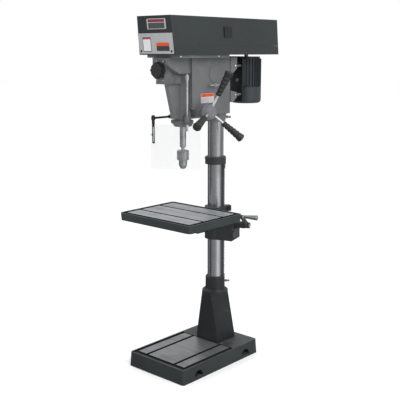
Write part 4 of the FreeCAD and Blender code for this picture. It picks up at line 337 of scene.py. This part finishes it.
def bare_group():
    """A mask that is 1 inside a box, which is set round the machined pads of a casting."""
    tree, given, made = new_group(
        "Bare pads",
        [("Coordinates", VECTOR, None), ("Low", VECTOR, None), ("High", VECTOR, None)],
        [("Mask", VALUE)],
    )
    place = node(tree, "ShaderNodeSeparateXYZ", {0: given["Coordinates"]}).outputs
    low = node(tree, "ShaderNodeSeparateXYZ", {0: given["Low"]}).outputs
    high = node(tree, "ShaderNodeSeparateXYZ", {0: given["High"]}).outputs
    inside = 1.0
    for n in range(3):
        inside = calc(tree, "MULTIPLY", inside, calc(tree, "GREATER_THAN", place[n], low[n]))
        inside = calc(tree, "MULTIPLY", inside, calc(tree, "LESS_THAN", place[n], high[n]))
    feed(tree, inside, made["Mask"])
    return tree


def print_group():
    """A printed patch on its own UV: a border, a coloured head band and a body, with ink grain."""
    tree, given, made = new_group(
        "Printed patch",
        [("Paper", COLOUR, WHITE), ("Band", COLOUR, WHITE), ("Body", COLOUR, WHITE),
         ("Border", COLOUR, WHITE), ("Band low", VALUE, 0.8), ("Margin", VALUE, 0.05)],
        SURFACE,
    )
    place = node(tree, "ShaderNodeUVMap", uv_map="Patch").outputs[0]
    u, v, _ = node(tree, "ShaderNodeSeparateXYZ", {0: place}).outputs
    across = calc(tree, "SUBTRACT", 0.5, calc(tree, "ABSOLUTE", calc(tree, "SUBTRACT", u, 0.5)))
    along = calc(tree, "SUBTRACT", 0.5, calc(tree, "ABSOLUTE", calc(tree, "SUBTRACT", v, 0.5)))
    inside = calc(tree, "GREATER_THAN", calc(tree, "MINIMUM", across, along), given["Margin"])
    in_band = calc(tree, "GREATER_THAN", v, given["Band low"])
    in_body = calc(tree, "LESS_THAN", v, calc(tree, "SUBTRACT", given["Band low"], 0.05))
    colour = blend_colour(tree, in_band, given["Paper"], given["Band"])
    colour = blend_colour(tree, in_body, colour, given["Body"])
    colour = blend_colour(tree, inside, given["Border"], colour)
    ink = noise(tree, place, 60, 4)
    grain = blend_colour(tree, ink, (0.9, 0.9, 0.9, 1), (1.06, 1.06, 1.06, 1))
    feed(tree, blend_colour(tree, 1.0, colour, grain, "MULTIPLY"), made["Colour"])
    feed(tree, calc(tree, "ADD", 0.28, calc(tree, "MULTIPLY", ink, 0.2)), made["Roughness"])
    feed(tree, ink, made["Height"])
    return tree


GROUPS = {
    "edge": edge_group, "enamel": enamel_group, "sheet": sheet_group, "machined": machined_group,
    "moulded": moulded_group, "bare": bare_group, "print": print_group,
}
BUILT = {}


def use_group(tree, key, inputs):
    """The outputs of a shared group, which is built the first time it is asked for."""
    if key not in BUILT:
        BUILT[key] = GROUPS[key]()
    new = tree.nodes.new("ShaderNodeGroup")
    new.node_tree = BUILT[key]
    for label, value in inputs.items():
        feed(tree, value, new.inputs[label])
    return new.outputs


# ---------------------------------------------------------------- materials
def new_material(name):
    """A material, its tree, its Principled shader and its object coordinates."""
    material = bpy.data.materials.new(name)
    material.use_nodes = True
    tree = material.node_tree
    shader = tree.nodes["Principled BSDF"]
    where = node(tree, "ShaderNodeTexCoord").outputs["Object"]
    return material, tree, shader, where


def wire(tree, shader, outputs, depth, edges=None):
    """Puts a group's colour, roughness and height on the shader."""
    feed(tree, outputs["Colour"], shader.inputs["Base Color"])
    feed(tree, outputs["Roughness"], shader.inputs["Roughness"])
    inputs = {"Height": outputs["Height"], "Distance": depth, "Strength": 1.0}
    bump = node(tree, "ShaderNodeBump", inputs)
    if edges is not None:
        feed(tree, edges["Normal"], bump.inputs["Normal"])
    feed(tree, bump.outputs[0], shader.inputs["Normal"])


def enamel(name, colour, worn="6f7476", casting=1.0, pads=None, top="9a9da0", trough=None):
    """Enamel on a casting, with ground metal inside one box and a trough floor darkened near-black for oil
    and painted shade inside the other, if they are given.
    """
    look = bpy.context.scene.drillpress_look
    material, tree, shader, where = new_material(name)
    edges = use_group(tree, "edge", {"Width": look.edge_width})
    rubbed = calc(tree, "MULTIPLY", edges["Mask"], look.edge_wear)
    paint = use_group(
        tree, "enamel",
        {"Coordinates": where, "Colour": tint(colour), "Worn": srgb(worn), "Edges": rubbed,
         "Casting": casting},
    )
    wire(tree, shader, paint, look.peel, edges)
    shader.inputs["Specular IOR Level"].default_value = PAINT_SPECULAR
    if pads is None:
        return material
    bare = use_group(tree, "bare", {"Coordinates": where, "Low": pads[0], "High": pads[1]})["Mask"]
    metal = use_group(
        tree, "machined",
        {"Coordinates": where, "Colour": srgb(top), "Cut": (0.05, 1.0, 0.05), "Polish": 0.30, "Stain": 0.35},
    )
    # the trough floor is painted near-black: partly oil, partly painted shade in the recess
    oil_and_shade = use_group(tree, "bare", {"Coordinates": where, "Low": trough[0], "High": trough[1]})["Mask"]
    painted = blend_colour(tree, oil_and_shade, paint["Colour"], srgb("0c0e0f"))
    feed(tree, blend_colour(tree, bare, painted, metal["Colour"]), shader.inputs["Base Color"])
    feed(tree, blend_value(tree, bare, paint["Roughness"], metal["Roughness"]), shader.inputs["Roughness"])
    feed(tree, calc(tree, "MULTIPLY", bare, 0.7), shader.inputs["Metallic"])
    return material


def sheet_paint(name, colour, worn="6a7071"):
    """Baked paint on pressed steel."""
    look = bpy.context.scene.drillpress_look
    material, tree, shader, where = new_material(name)
    edges = use_group(tree, "edge", {"Width": look.edge_width})
    rubbed = calc(tree, "MULTIPLY", edges["Mask"], look.edge_wear)
    paint = use_group(
        tree, "sheet", {"Coordinates": where, "Colour": tint(colour), "Worn": srgb(worn), "Edges": rubbed}
    )
    wire(tree, shader, paint, look.peel / 2, edges)
    shader.inputs["Specular IOR Level"].default_value = PAINT_SPECULAR
    return material


def machined(name, colour, cut=(1.0, 1.0, 0.04), polish=0.22, stain=0.2):
    """Bare metal; cut is how fast the marks change along each axis, so a low value runs them along it."""
    look = bpy.context.scene.drillpress_look
    material, tree, shader, where = new_material(name)
    metal = use_group(
        tree, "machined",
        {"Coordinates": where, "Colour": tint(colour), "Cut": cut, "Polish": polish, "Stain": stain},
    )
    wire(tree, shader, metal, look.grind)
    shader.inputs["Metallic"].default_value = 1.0
    return material


def moulded(name, colour, shine=0.4, depth=0.00008):
    """Plastic or rubber, with its texture depth in metres."""
    material, tree, shader, where = new_material(name)
    plastic = use_group(tree, "moulded", {"Coordinates": where, "Colour": tint(colour), "Shine": shine})
    wire(tree, shader, plastic, depth)
    return material


def clear_sheet(name):
    """A clear plastic sheet: mostly see-through, with a painted sheen that makes it brighter where it is seen
    edge on, and faint haze.
    """
    material, tree, shader, where = new_material(name)
    haze = noise(tree, where, 14, 5)
    scratches = ramp(tree, noise(tree, where, 160, 6), 0.6, 0.75)
    # painted sheen: the sheet turns more opaque and grey where it is seen edge on, standing in for its
    # reflection
    facing = node(tree, "ShaderNodeLayerWeight", {"Blend": 0.35}).outputs["Facing"]
    alpha = calc(tree, "ADD", 0.07, calc(tree, "MULTIPLY", calc(tree, "POWER", facing, 3.0), 0.5))
    alpha = calc(tree, "ADD", alpha, calc(tree, "MULTIPLY", scratches, 0.06))
    feed(tree, alpha, shader.inputs["Alpha"])
    feed(tree, calc(tree, "ADD", 0.05, calc(tree, "MULTIPLY", haze, 0.15)), shader.inputs["Roughness"])
    feed(tree, blend_colour(tree, haze, srgb("8d9292"), srgb("a3a8a8")), shader.inputs["Base Color"])
    return material


def printed(name, paper, band, body, border, band_low, margin):
    """A printed patch; band_low and margin are shares of its height and width."""
    material, tree, shader, _ = new_material(name)
    outputs = use_group(
        tree, "print",
        {"Paper": srgb(paper), "Band": srgb(band), "Body": srgb(body), "Border": srgb(border),
         "Band low": band_low, "Margin": margin},
    )
    wire(tree, shader, outputs, 0.00001)
    return material


def dress(names, material):
    """Gives CAD nodes a material."""
    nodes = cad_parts
    for name in names:
        for place in nodes[name].material_slots:
            place.link = "OBJECT"
            place.material = material


# ---------------------------------------------------------------- mesh helpers
def mesh_object(name, points, faces, material, smooth=True, uv=None):
    """An object at the origin from an array of points and a list of faces."""
    mesh = bpy.data.meshes.new(name)
    mesh.from_pydata(points.tolist(), [], faces)
    mesh.update()
    mesh.polygons.foreach_set("use_smooth", np.full(len(mesh.polygons), smooth))
    if uv is not None:
        loops = np.empty(len(mesh.loops), int)
        mesh.loops.foreach_get("vertex_index", loops)
        layer = mesh.uv_layers.new(name="Patch")
        layer.data.foreach_set("uv", uv[loops].ravel())
    mesh.materials.append(material)
    made = bpy.data.objects.new(name, mesh)
    bpy.context.collection.objects.link(made)
    return made


def ring_faces(rings, count):
    """The quads between rings of count points each."""
    start = np.arange(rings - 1)[:, None] * count
    here = np.arange(count)[None, :]
    there = (here + 1) % count
    quads = np.stack([start + here, start + there, start + count + there, start + count + here], axis=-1)
    return quads.reshape(-1, 4).tolist()


def fan_faces(ring_start, count, tip, outward):
    """The triangles that close a ring of count points to a tip point."""
    here = ring_start + np.arange(count)
    there = ring_start + (np.arange(count) + 1) % count
    tips = np.full(count, tip)
    columns = [there, here, tips] if outward else [here, there, tips]
    return np.stack(columns, axis=-1).tolist()


def turned(name, start, direction, along, radius, material, count=48):
    """A closed surface of revolution: point = start + along*d + radius*(cos t * e1 + sin t * e2)."""
    d = np.array(direction.normalized())
    e1 = np.array(direction.orthogonal().normalized())
    e2 = np.cross(d, e1)
    t = np.linspace(0, 2 * math.pi, count, endpoint=False)
    round_ = np.cos(t)[:, None] * e1 + np.sin(t)[:, None] * e2
    points = np.array(start) + along[:, None, None] * d + radius[:, None, None] * round_[None, :, :]
    points = points.reshape(-1, 3)
    ends = np.array([np.array(start) + along[0] * d, np.array(start) + along[-1] * d])
    total = len(points)
    faces = ring_faces(len(along), count)
    faces += fan_faces(0, count, total, True)
    faces += fan_faces(total - count, count, total + 1, False)
    return mesh_object(name, np.vstack([points, ends]), faces, material)


def outline(width, height, corner, steps=6):
    """The points of a round-cornered rectangle about the origin, anticlockwise."""
    quarter = np.linspace(0, math.pi / 2, steps)
    points = []
    for n, (sx, sy) in enumerate(((1, 1), (-1, 1), (-1, -1), (1, -1))):
        turn = quarter + n * math.pi / 2
        centre = np.array([sx * (width / 2 - corner), sy * (height / 2 - corner)])
        points.append(centre + corner * np.stack([np.cos(turn), np.sin(turn)], axis=-1))
    return np.vstack(points)


def patch(name, centre, across, up, size, thickness, corner, material):
    """A flat plate with soft edges: rings of its outline at rising heights, closed by its two faces."""
    a = np.array(across.normalized())
    b = np.array(up.normalized())
    out = np.cross(a, b)
    edge = min(thickness * 0.45, corner * 0.5)
    steps = [(0.0, 0.0), (0.0, thickness - edge), (edge * 0.3, thickness - edge * 0.3), (edge, thickness)]
    rings = []
    flat = []
    for inset, height in steps:
        ring = outline(size[0] - 2 * inset, size[1] - 2 * inset, corner - inset)
        rings.append(np.array(centre) + ring[:, :1] * a + ring[:, 1:] * b + height * out)
        flat.append(ring / np.array(size) + 0.5)
    count = len(rings[0])
    faces = ring_faces(len(rings), count)
    faces.append(list(range(count - 1, -1, -1)))
    faces.append(list(range((len(rings) - 1) * count, len(rings) * count)))
    return mesh_object(name, np.vstack(rings), faces, material, smooth=False, uv=np.vstack(flat))


def screw(name, place, out, radius, material):
    """A pan head: height falls as a dome, h = 0.55 r sqrt(1 - 0.8 s^2), with a cross sunk in its middle."""
    out = out.normalized()
    e1 = np.array(out.orthogonal().normalized())
    d = np.array(out)
    e2 = np.cross(d, e1)
    count = 48
    share = np.linspace(1.0, 0.04, 14)
    t = np.linspace(0, 2 * math.pi, count, endpoint=False)
    s, turn = np.meshgrid(share, t, indexing="ij")
    x = s * np.cos(turn)
    y = s * np.sin(turn)
    cross = (np.minimum(np.abs(x), np.abs(y)) < 0.13) & (np.maximum(np.abs(x), np.abs(y)) < 0.55)
    height = 0.55 * radius * np.sqrt(1 - 0.8 * s ** 2) - 0.22 * radius * cross
    top = np.array(place) + radius * x[..., None] * e1 + radius * y[..., None] * e2 + height[..., None] * d
    foot = top[0] - height[0][:, None] * d
    points = np.vstack([foot, top.reshape(-1, 3)])
    tip = np.array(place) + height[-1].mean() * d
    base = np.array(place)
    total = len(points)
    faces = ring_faces(len(share) + 1, count)
    faces += fan_faces(total - count, count, total, False)
    faces += fan_faces(0, count, total + 1, True)
    return mesh_object(name, np.vstack([points, tip[None], base[None]]), faces, material, smooth=False)


# ---------------------------------------------------------------- places of the small pieces, in metres
# bare pads, and troughs painted near-black for oil and painted shade: insets from the side and the front,
# then from the back, or the back's own y
BASE_PAD_INSETS = (0.031, 0.038, -0.0675)
BASE_TROUGH_INSETS = (0.010, 0.010, -0.0595)
TABLE_PAD_INSETS = (0.0265, 0.0265, 0.0265)
TABLE_TROUGH_INSETS = (0.006, 0.006, 0.006)
PAD_DEPTHS = (-0.01, 0.0004)
TROUGH_DEPTHS = (0.004, 0.0078)

# feed handles: the rods lean out of the hub as a cone, and each grip starts part way along its rod
ROD_APEX = 0.0062
ROD_CONE = math.radians(23.3)
ROD_FIRST = math.radians(76.3)
GRIP_START = 0.082
GRIP_LENGTH = 0.124
GRIP_THIN = 0.0110
GRIP_GAIN = 0.0062
GRIP_FLARE = 0.0042
GRIP_RIBS = 6.5

# labels: across and up the front, or along and up the head's right side
NAMEPLATE_AT = (0.015, 1.6485)
NAMEPLATE_SIZE = (0.116, 0.046)
NAMEPLATE_SINK = 0.0020
WHITE_AT = (-0.054, 1.5595)
WHITE_SIZE = (0.052, 0.064)
ORANGE_AT = (0.044, 1.5495)
ORANGE_SIZE = (0.078, 0.036)
HEAD_LABEL_AT = (0.060, -0.1295, 1.313)
HEAD_LABEL_SIZE = (0.093, 0.044)

# screws
PANEL_SCREW = (0.095, 1.5305)
FLANGE_X = 0.102
FLANGE_SCREW_Y = (-0.354, -0.097)
FLANGE_SCREW_DROP = 0.0065
EAR_X = 0.064
EAR_SCREW_INSET = 0.010
BAR_RADIUS = 0.008
GUARD_NUT_RISE = 0.042
HOUSING_TURN = math.radians(18)
HOUSING_REACH = 0.115
HOUSING_SCREW_HALF_W = 0.036
HOUSING_SCREW_INSET = 0.009


# ---------------------------------------------------------------- measures taken from the frame
def middle(name):
    """The middle of a node's box."""
    low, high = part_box(name)
    return (low + high) / 2


def zone(node_name, insets, depths):
    """A box inside a casting's outline, between two depths below its highest face."""
    side, front, back = insets
    top, deep = depths
    low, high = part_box(node_name)
    rear = back if back < 0 else high.y - back
    return (low.x + side, low.y + front, high.z - deep), (high.x - side, rear, high.z - top)


def front_plane():
    """The top edge of the front panel's face, and the direction up that leaning face."""
    low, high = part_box("front_panel")
    centre = middle("front_panel")
    lid_low, lid_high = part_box("cover_lid")
    slope = (centre.y - lid_low.y) / (lid_high.z - centre.z)
    return Vector((0, low.y, high.z)), Vector((0, -slope, 1)).normalized()


class DRILLPRESS_OT_castings(bpy.types.Operator):
    """Enamels the castings, and bares the ground faces of the table and the base"""

    bl_idname = "drillpress.castings"
    bl_label = "Castings"

    def execute(self, context):
        look = context.scene.drillpress_look
        dress(["base"], enamel(
            "Base enamel", look.base_colour, pads=zone("base", BASE_PAD_INSETS, PAD_DEPTHS), top="85888a",
            trough=zone("base", BASE_TROUGH_INSETS, TROUGH_DEPTHS),
        ))
        dress(["table"], enamel(
            "Table enamel", look.table_colour, pads=zone("table", TABLE_PAD_INSETS, PAD_DEPTHS), top="9da0a3",
            trough=zone("table", TABLE_TROUGH_INSETS, TROUGH_DEPTHS),
        ))
        dress(["pedestal"], enamel("Pedestal enamel", look.pedestal_colour))
        dress(["upper_collar", "table_bracket", "crank_arm"], enamel("Bracket enamel", look.bracket_colour))
        dress(["gear_housing_cover"], enamel("Gear cover enamel", "34393a", casting=0.3))
        dress(["head_casting"], enamel("Head enamel", look.head_colour, worn="9a9c9e", casting=0.7))
        dress(["quill_collar"], enamel("Collar enamel", "55575a", worn="a0a2a4", casting=0.4))
        dress(["feed_hub"], enamel("Hub enamel", "6a6c6f", worn="b0b2b4", casting=0.4))
        dress(["spring_housing", "motor_plate", "guard_arm"], enamel("Black enamel", "101314", casting=0.3))
        dress(["motor_frame"], enamel("Motor enamel", look.motor_colour, casting=0.6))
        return {"FINISHED"}


class DRILLPRESS_OT_sheet_metal(bpy.types.Operator):
    """Paints the belt cover, the front panel and the other pressed pieces"""

    bl_idname = "drillpress.sheet_metal"
    bl_label = "Sheet metal"

    def execute(self, context):
        look = context.scene.drillpress_look
        dress(["cover_pan", "cover_lid"], sheet_paint("Cover paint", look.cover_colour))
        dress(["motor_fan_cover", "terminal_box"], sheet_paint("Fan cover paint", "2b3334"))
        dress(["front_panel"], sheet_paint("Panel paint", look.panel_colour, worn="c0c2c4"))
        return {"FINISHED"}


class DRILLPRESS_OT_steel(bpy.types.Operator):
    """Gives each bare metal piece its cut marks"""

    bl_idname = "drillpress.steel"
    bl_label = "Steel"

    def execute(self, context):
        upright = (1.0, 1.0, 0.02)
        turned_marks = (0.12, 0.12, 1.0)
        dress(["column_tube"], machined("Column steel", "b4b7b9", upright, 0.16, 0.35))
        dress(["lift_rack"], machined("Rack steel", "75787a", upright, 0.30, 0.55))
        dress(["spindle", "quill", "chuck_arbor"], machined("Turned steel", "c0c3c5", turned_marks, 0.14))
        dress(["chuck_body", "chuck_sleeve"], machined("Chuck steel", "b0b3b5", turned_marks, 0.18, 0.4))
        jaws = ["chuck_jaw_1", "chuck_jaw_2", "chuck_jaw_3"]
        hard = machined("Hard steel", "6f7274", upright, 0.25)
        dress([*jaws, "quill_bearings", "drive_sleeve_bearings"], hard)
        bright = machined("Bright steel", "e2e4e6", (0.6, 0.6, 0.6), 0.14, 0.05)
        dress(["feed_rods", "depth_nuts", "depth_rod", "switch_box_screws"], bright)
        gears = ["feed_pinion_shaft", "lift_pinion", "drive_sleeve", "motor_rotor", "slide_bars"]
        dress([*gears, "column_set_screws"], machined("Gear steel", "8f9294", (1.0, 0.3, 0.3), 0.24))
        black = ["pedestal_bolts", "tilt_pivot_bolt", "table_lock_lever", "guard_pivot_bar"]
        dress([*black, "lid_hinge"], machined("Blackened steel", "3c3f42", (0.5, 0.5, 0.5), 0.34, 0.3))
        pin = machined("Pin steel", "d4d6d8", (0.6, 0.6, 0.6), 0.16, 0.1)
        dress(["crank_shaft_worm", "motor_bar_lock"], pin)
        dress(["motor_mount_bolts"], machined("Bolt steel", "b4b6b8", (0.7, 0.7, 0.7), 0.2))
        dress(["feed_return_spring"], machined("Spring steel", "4a5058", (1.0, 0.2, 0.2), 0.25))
        dress(["spindle_pulley", "motor_pulley"], machined("Pulley alloy", "a2a5a8", turned_marks, 0.25, 0.2))
        return {"FINISHED"}


class DRILLPRESS_OT_plastics(bpy.types.Operator):
    """Gives the knob, the box, the latch, the belt and the guard their plastics"""

    bl_idname = "drillpress.plastics"
    bl_label = "Plastics"

    def execute(self, context):
        dress(["switch_knob"], moulded("Knob plastic", "0e0f10", 0.28))
        dress(["switch_box"], moulded("Box plastic", "515355", 0.4))
        dress(["latch_bezel", "latch_paddle"], moulded("Latch plastic", "0c0d0e", 0.25))
        dress(["drive_belt"], moulded("Belt rubber", "202021", 0.6, 0.0003))
        dress(["feed_grips"], moulded("Grip plastic", "1d1e1f", 0.38))
        dress(["crank_handle"], machined("Handle steel", "b9bbbd", (1.0, 0.3, 1.0), 0.14, 0.1))
        dress(["guard_shield"], clear_sheet("Clear sheet"))
        return {"FINISHED"}


class DRILLPRESS_OT_grips(bpy.types.Operator):
    """Models the ribbed grips of the three feed handles"""

    bl_idname = "drillpress.grips"
    bl_label = "Feed grips"

    def execute(self, context):
        fittings = context.scene.drillpress_fittings
        material = moulded("Grip rubber", context.scene.drillpress_look.grip_colour, 0.42)
        hub = middle("feed_pinion_shaft")
        hub.x = middle("feed_hub").x + ROD_APEX
        for n in range(3):
            angle = ROD_FIRST + n * 2 * math.pi / 3
            flat = math.cos(ROD_CONE)
            way = Vector((math.sin(ROD_CONE), flat * math.cos(angle), flat * math.sin(angle)))
            share = np.linspace(0, 1, 120)
            taper = GRIP_THIN + GRIP_GAIN * share ** 1.2
            ribs = fittings.grip_ribs * np.abs(np.sin(share * GRIP_RIBS * math.pi)) * (share < 0.92)
            flare = GRIP_FLARE * np.exp(-((share - 0.95) / 0.05) ** 2)
            ends = np.sqrt(np.clip(1 - (2 * share - 1) ** 24, 0, 1))
            radius = (taper + ribs + flare) * np.clip(ends, 0.02, 1)
            grip = turned(
                f"feed_grip_{n + 1}", hub + way * GRIP_START, way, share * GRIP_LENGTH, radius, material
            )
            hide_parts("feed_grips")
            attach(grip, "feed_handles")
        return {"FINISHED"}


class DRILLPRESS_OT_labels(bpy.types.Operator):
    """Adds the nameplate and the plain coloured patches"""

    bl_idname = "drillpress.labels"
    bl_label = "Labels"

    def execute(self, context):
        fittings = context.scene.drillpress_fittings
        thin = fittings.label_thickness
        top, up = front_plane()

        def on_front(spot, stand):
            """A point on the leaning front, at stand proud of the panel's face."""
            x, z = spot
            run = (z - top.z) / up.z
            out = RIGHT.cross(up)
            return top + RIGHT * x + up * run + out * stand

        plate = printed("Nameplate print", "a2a4a5", "7a1f2b", "3f4143", "a2a4a5", 0.66, 0.06)
        name = patch(
            "nameplate", on_front(NAMEPLATE_AT, -NAMEPLATE_SINK), RIGHT, up, NAMEPLATE_SIZE,
            fittings.plate_thickness, 0.004, plate,
        )
        left = printed("White patch print", "c9cacb", "a8324e", "c6c7c8", "1f2123", 0.86, 0.045)
        right = printed("Orange patch print", "3a3d40", "c4441a", "2f3235", "2f3235", 0.60, 0.0)
        white = patch("label_left", on_front(WHITE_AT, 0.0), RIGHT, up, WHITE_SIZE, thin, 0.003, left)
        orange = patch("label_right", on_front(ORANGE_AT, 0.0), RIGHT, up, ORANGE_SIZE, thin, 0.002, right)
        for piece, body in ((name, "lid"), (white, "stand_and_head"), (orange, "stand_and_head")):
            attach(piece, body)
        print_side = printed("Head patch print", "c4c5c6", "c4441a", "a9abad", "c4c5c6", 0.64, 0.02)
        head = patch("label_head", HEAD_LABEL_AT, REAR, UP, HEAD_LABEL_SIZE, thin, 0.002, print_side)
        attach(head, "stand_and_head")
        return {"FINISHED"}


class DRILLPRESS_OT_screws(bpy.types.Operator):
    """Adds the small screws on the panel, the flange and the gear cover"""

    bl_idname = "drillpress.screws"
    bl_label = "Small screws"

    def execute(self, context):
        radius = context.scene.drillpress_fittings.screw_radius
        dark = machined("Screw black", "1c1e20", (0.6, 0.6, 0.6), 0.3)
        bright = machined("Screw bright", "e6e8ea", (0.6, 0.6, 0.6), 0.15)
        top, up = front_plane()
        out = RIGHT.cross(up)
        places = []
        for side in (-1, 1):
            spot = top + RIGHT * side * PANEL_SCREW[0] + up * (PANEL_SCREW[1] - top.z) / up.z
            places.append(("panel_screw", spot, out, dark, "stand_and_head", "dark_steel"))
        flange_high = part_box("head_casting")[1]
        bars_low, bars_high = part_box("slide_bars")
        for side in (-1, 1):
            for y in FLANGE_SCREW_Y:
                spot = Vector((side * FLANGE_X, y, flange_high.z - FLANGE_SCREW_DROP))
                places.append(("flange_screw", spot, RIGHT * side, bright, "stand_and_head", "bright_steel"))
            for z in (bars_low.z + BAR_RADIUS, bars_high.z - BAR_RADIUS):
                spot = Vector((side * EAR_X, flange_high.y - EAR_SCREW_INSET, z))
                places.append(("bar_screw", spot, RIGHT * side, bright, "stand_and_head", "bright_steel"))
        bar_low, bar_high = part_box("guard_pivot_bar")
        nut = Vector(((bar_low.x + bar_high.x) / 2, bar_low.y, bar_low.z + GUARD_NUT_RISE))
        places.append(("guard_nut", nut, -REAR, dark, "guard_sheet", "dark_steel"))
        outward = Vector((math.cos(HOUSING_TURN), math.sin(HOUSING_TURN), 0))
        across = UP.cross(outward)
        cover_low, cover_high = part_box("gear_housing_cover")
        for side in (-1, 1):
            for z in (cover_low.z + HOUSING_SCREW_INSET, cover_high.z - HOUSING_SCREW_INSET):
                spot = outward * HOUSING_REACH + across * side * HOUSING_SCREW_HALF_W + UP * z
                places.append(("cover_screw", spot, outward, dark, "bracket", "dark_steel"))
        for n, (kind, spot, way, material, body, slot) in enumerate(places):
            piece = screw(f"{kind}_{n + 1}", spot, way, radius, material)
            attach(piece, body)
        return {"FINISHED"}


class DRILLPRESS_OT_studio(bpy.types.Operator):
    """Sets the pale floor, the soft lights and the camera"""

    bl_idname = "drillpress.studio"
    bl_label = "Studio"

    def execute(self, context):
        stage = context.scene.drillpress_stage
        self.floor(stage)
        self.sky(stage)
        self.lamp("Key", (3.6, -0.6, 3.4), stage.key_power, 2.4)
        self.lamp("Fill", (-3.2, -3.6, 2.6), stage.fill_power, 2.8)
        self.lamp("Top", (0.3, -0.8, 4.2), stage.fill_power, 2.2)
        self.camera(stage)
        return {"FINISHED"}

    def floor(self, stage):
        half = stage.floor_size / 2
        points = np.array([(-half, -half, 0), (half, -half, 0), (half, half, 0), (-half, half, 0)])
        material, tree, shader, where = new_material("Pale floor")
        grain = noise(tree, where, 6, 3)
        tone = blend_colour(tree, grain, (0.955, 0.955, 0.955, 1), (0.975, 0.975, 0.975, 1))
        feed(tree, tone, shader.inputs["Base Color"])
        shader.inputs["Roughness"].default_value = 0.7
        floor = mesh_object("floor", points, [[0, 1, 2, 3]], material, smooth=False)
        floor.visible_glossy = False

    def sky(self, stage):
        """A white room; what shines on metal is a ring of soft boxes and dark gaps round the horizon."""
        world = bpy.data.worlds.new("Studio")
        world.use_nodes = True
        bpy.context.scene.world = world
        tree = world.node_tree
        shader = tree.nodes["Background"]
        rays = node(tree, "ShaderNodeLightPath").outputs
        around = node(tree, "ShaderNodeTexCoord").outputs["Generated"]
        way = node(tree, "ShaderNodeSeparateXYZ", {0: around}).outputs
        turn = calc(tree, "DIVIDE", calc(tree, "ARCTAN2", way[1], way[0]), 2 * math.pi)
        boxes = tree.nodes.new("ShaderNodeValToRGB")
        feed(tree, calc(tree, "ADD", turn, 0.5), boxes.inputs[0])
        while len(boxes.color_ramp.elements) > 1:
            boxes.color_ramp.elements.remove(boxes.color_ramp.elements[0])
        for n, (degrees, light) in enumerate(SOFT_BOXES):
            stops = boxes.color_ramp.elements
            stop = stops[0] if n == 0 else stops.new((degrees + 180) / 360)
            stop.position = (degrees + 180) / 360
            stop.color = (light, light, light, 1)
        above = ramp(tree, way[2], 0.02, 0.12)
        shine = blend_colour(tree, above, boxes.outputs[0], (0.8, 0.8, 0.8, 1))
        seen = blend_colour(tree, rays["Is Glossy Ray"], WHITE, shine)
        feed(tree, seen, shader.inputs["Color"])
        feed(tree, blend_value(tree, rays["Is Camera Ray"], stage.sky, 1.0), shader.inputs["Strength"])
        bpy.context.scene.view_settings.view_transform = "Standard"

    def lamp(self, name, place, power, size):
        data = bpy.data.lights.new(name, "AREA")
        data.energy = power
        data.shape = "SQUARE"
        data.size = size
        lamp = bpy.data.objects.new(name, data)
        lamp.location = place
        aim = Vector((0, -0.1, 1.0)) - Vector(place)
        lamp.rotation_euler = aim.to_track_quat("-Z", "Y").to_euler()
        bpy.context.collection.objects.link(lamp)

    def camera(self, stage):
        data = bpy.data.cameras.new("Camera")
        data.lens = stage.focal_length
        data.sensor_width = 36.0
        camera = bpy.data.objects.new("Camera", data)
        a = stage.azimuth
        e = stage.elevation
        back = Vector((math.sin(a) * math.cos(e), -math.cos(a) * math.cos(e), math.sin(e)))
        camera.location = CAMERA_AT
        camera.rotation_euler = (-back).to_track_quat("-Z", "Y").to_euler()
        bpy.context.collection.objects.link(camera)
        bpy.context.scene.camera = camera


class DRILLPRESS_PT_panel(bpy.types.Panel):
    """The sidebar panel with every step"""

    bl_label = "Drill press"
    bl_space_type = "VIEW_3D"
    bl_region_type = "UI"
    bl_category = "Drill press"

    def draw(self, context):
        scene = context.scene
        for group in (scene.drillpress_look, scene.drillpress_fittings, scene.drillpress_stage):
            for key in group.bl_rna.properties.keys():
                if key not in ("rna_type", "name"):
                    self.layout.prop(group, key)
        for step in STEPS:
            self.layout.operator(step.bl_idname)


# the camera's place, in metres
CAMERA_AT = (2.4551, -2.8492, 1.5319)
# where the soft boxes stand round the horizon: degrees from +X towards +Y, and how bright
SOFT_BOXES = (
    (-180, 0.05), (-165, 0.05), (-158, 0.6), (-150, 0.55), (-143, 0.06), (-112, 0.08), (-100, 0.30),
    (-60, 0.33), (-40, 0.42), (-15, 1.0), (15, 0.9), (30, 0.25), (45, 0.12), (58, 0.5), (85, 0.55),
    (98, 0.15), (110, 0.42), (150, 0.46), (165, 0.05),
)
STEPS = (
    DRILLPRESS_OT_castings,
    DRILLPRESS_OT_sheet_metal,
    DRILLPRESS_OT_steel,
    DRILLPRESS_OT_plastics,
    DRILLPRESS_OT_grips,
    DRILLPRESS_OT_labels,
    DRILLPRESS_OT_screws,
    DRILLPRESS_OT_studio,
)
GROUP_CLASSES = (DRILLPRESS_PG_look, DRILLPRESS_PG_fittings, DRILLPRESS_PG_stage)


def register():
    for item in (*GROUP_CLASSES, *STEPS, DRILLPRESS_PT_panel):
        bpy.utils.register_class(item)
    bpy.types.Scene.drillpress_look = PointerProperty(type=DRILLPRESS_PG_look)
    bpy.types.Scene.drillpress_fittings = PointerProperty(type=DRILLPRESS_PG_fittings)
    bpy.types.Scene.drillpress_stage = PointerProperty(type=DRILLPRESS_PG_stage)


def unregister():
    del bpy.types.Scene.drillpress_stage
    del bpy.types.Scene.drillpress_fittings
    del bpy.types.Scene.drillpress_look
    for item in (DRILLPRESS_PT_panel, *reversed(STEPS), *reversed(GROUP_CLASSES)):
        bpy.utils.unregister_class(item)


def main():
    register()
    for step in STEPS:
        group, action = step.bl_idname.split(".")
        getattr(getattr(bpy.ops, group), action)()


if __name__ == "__main__":
    main()
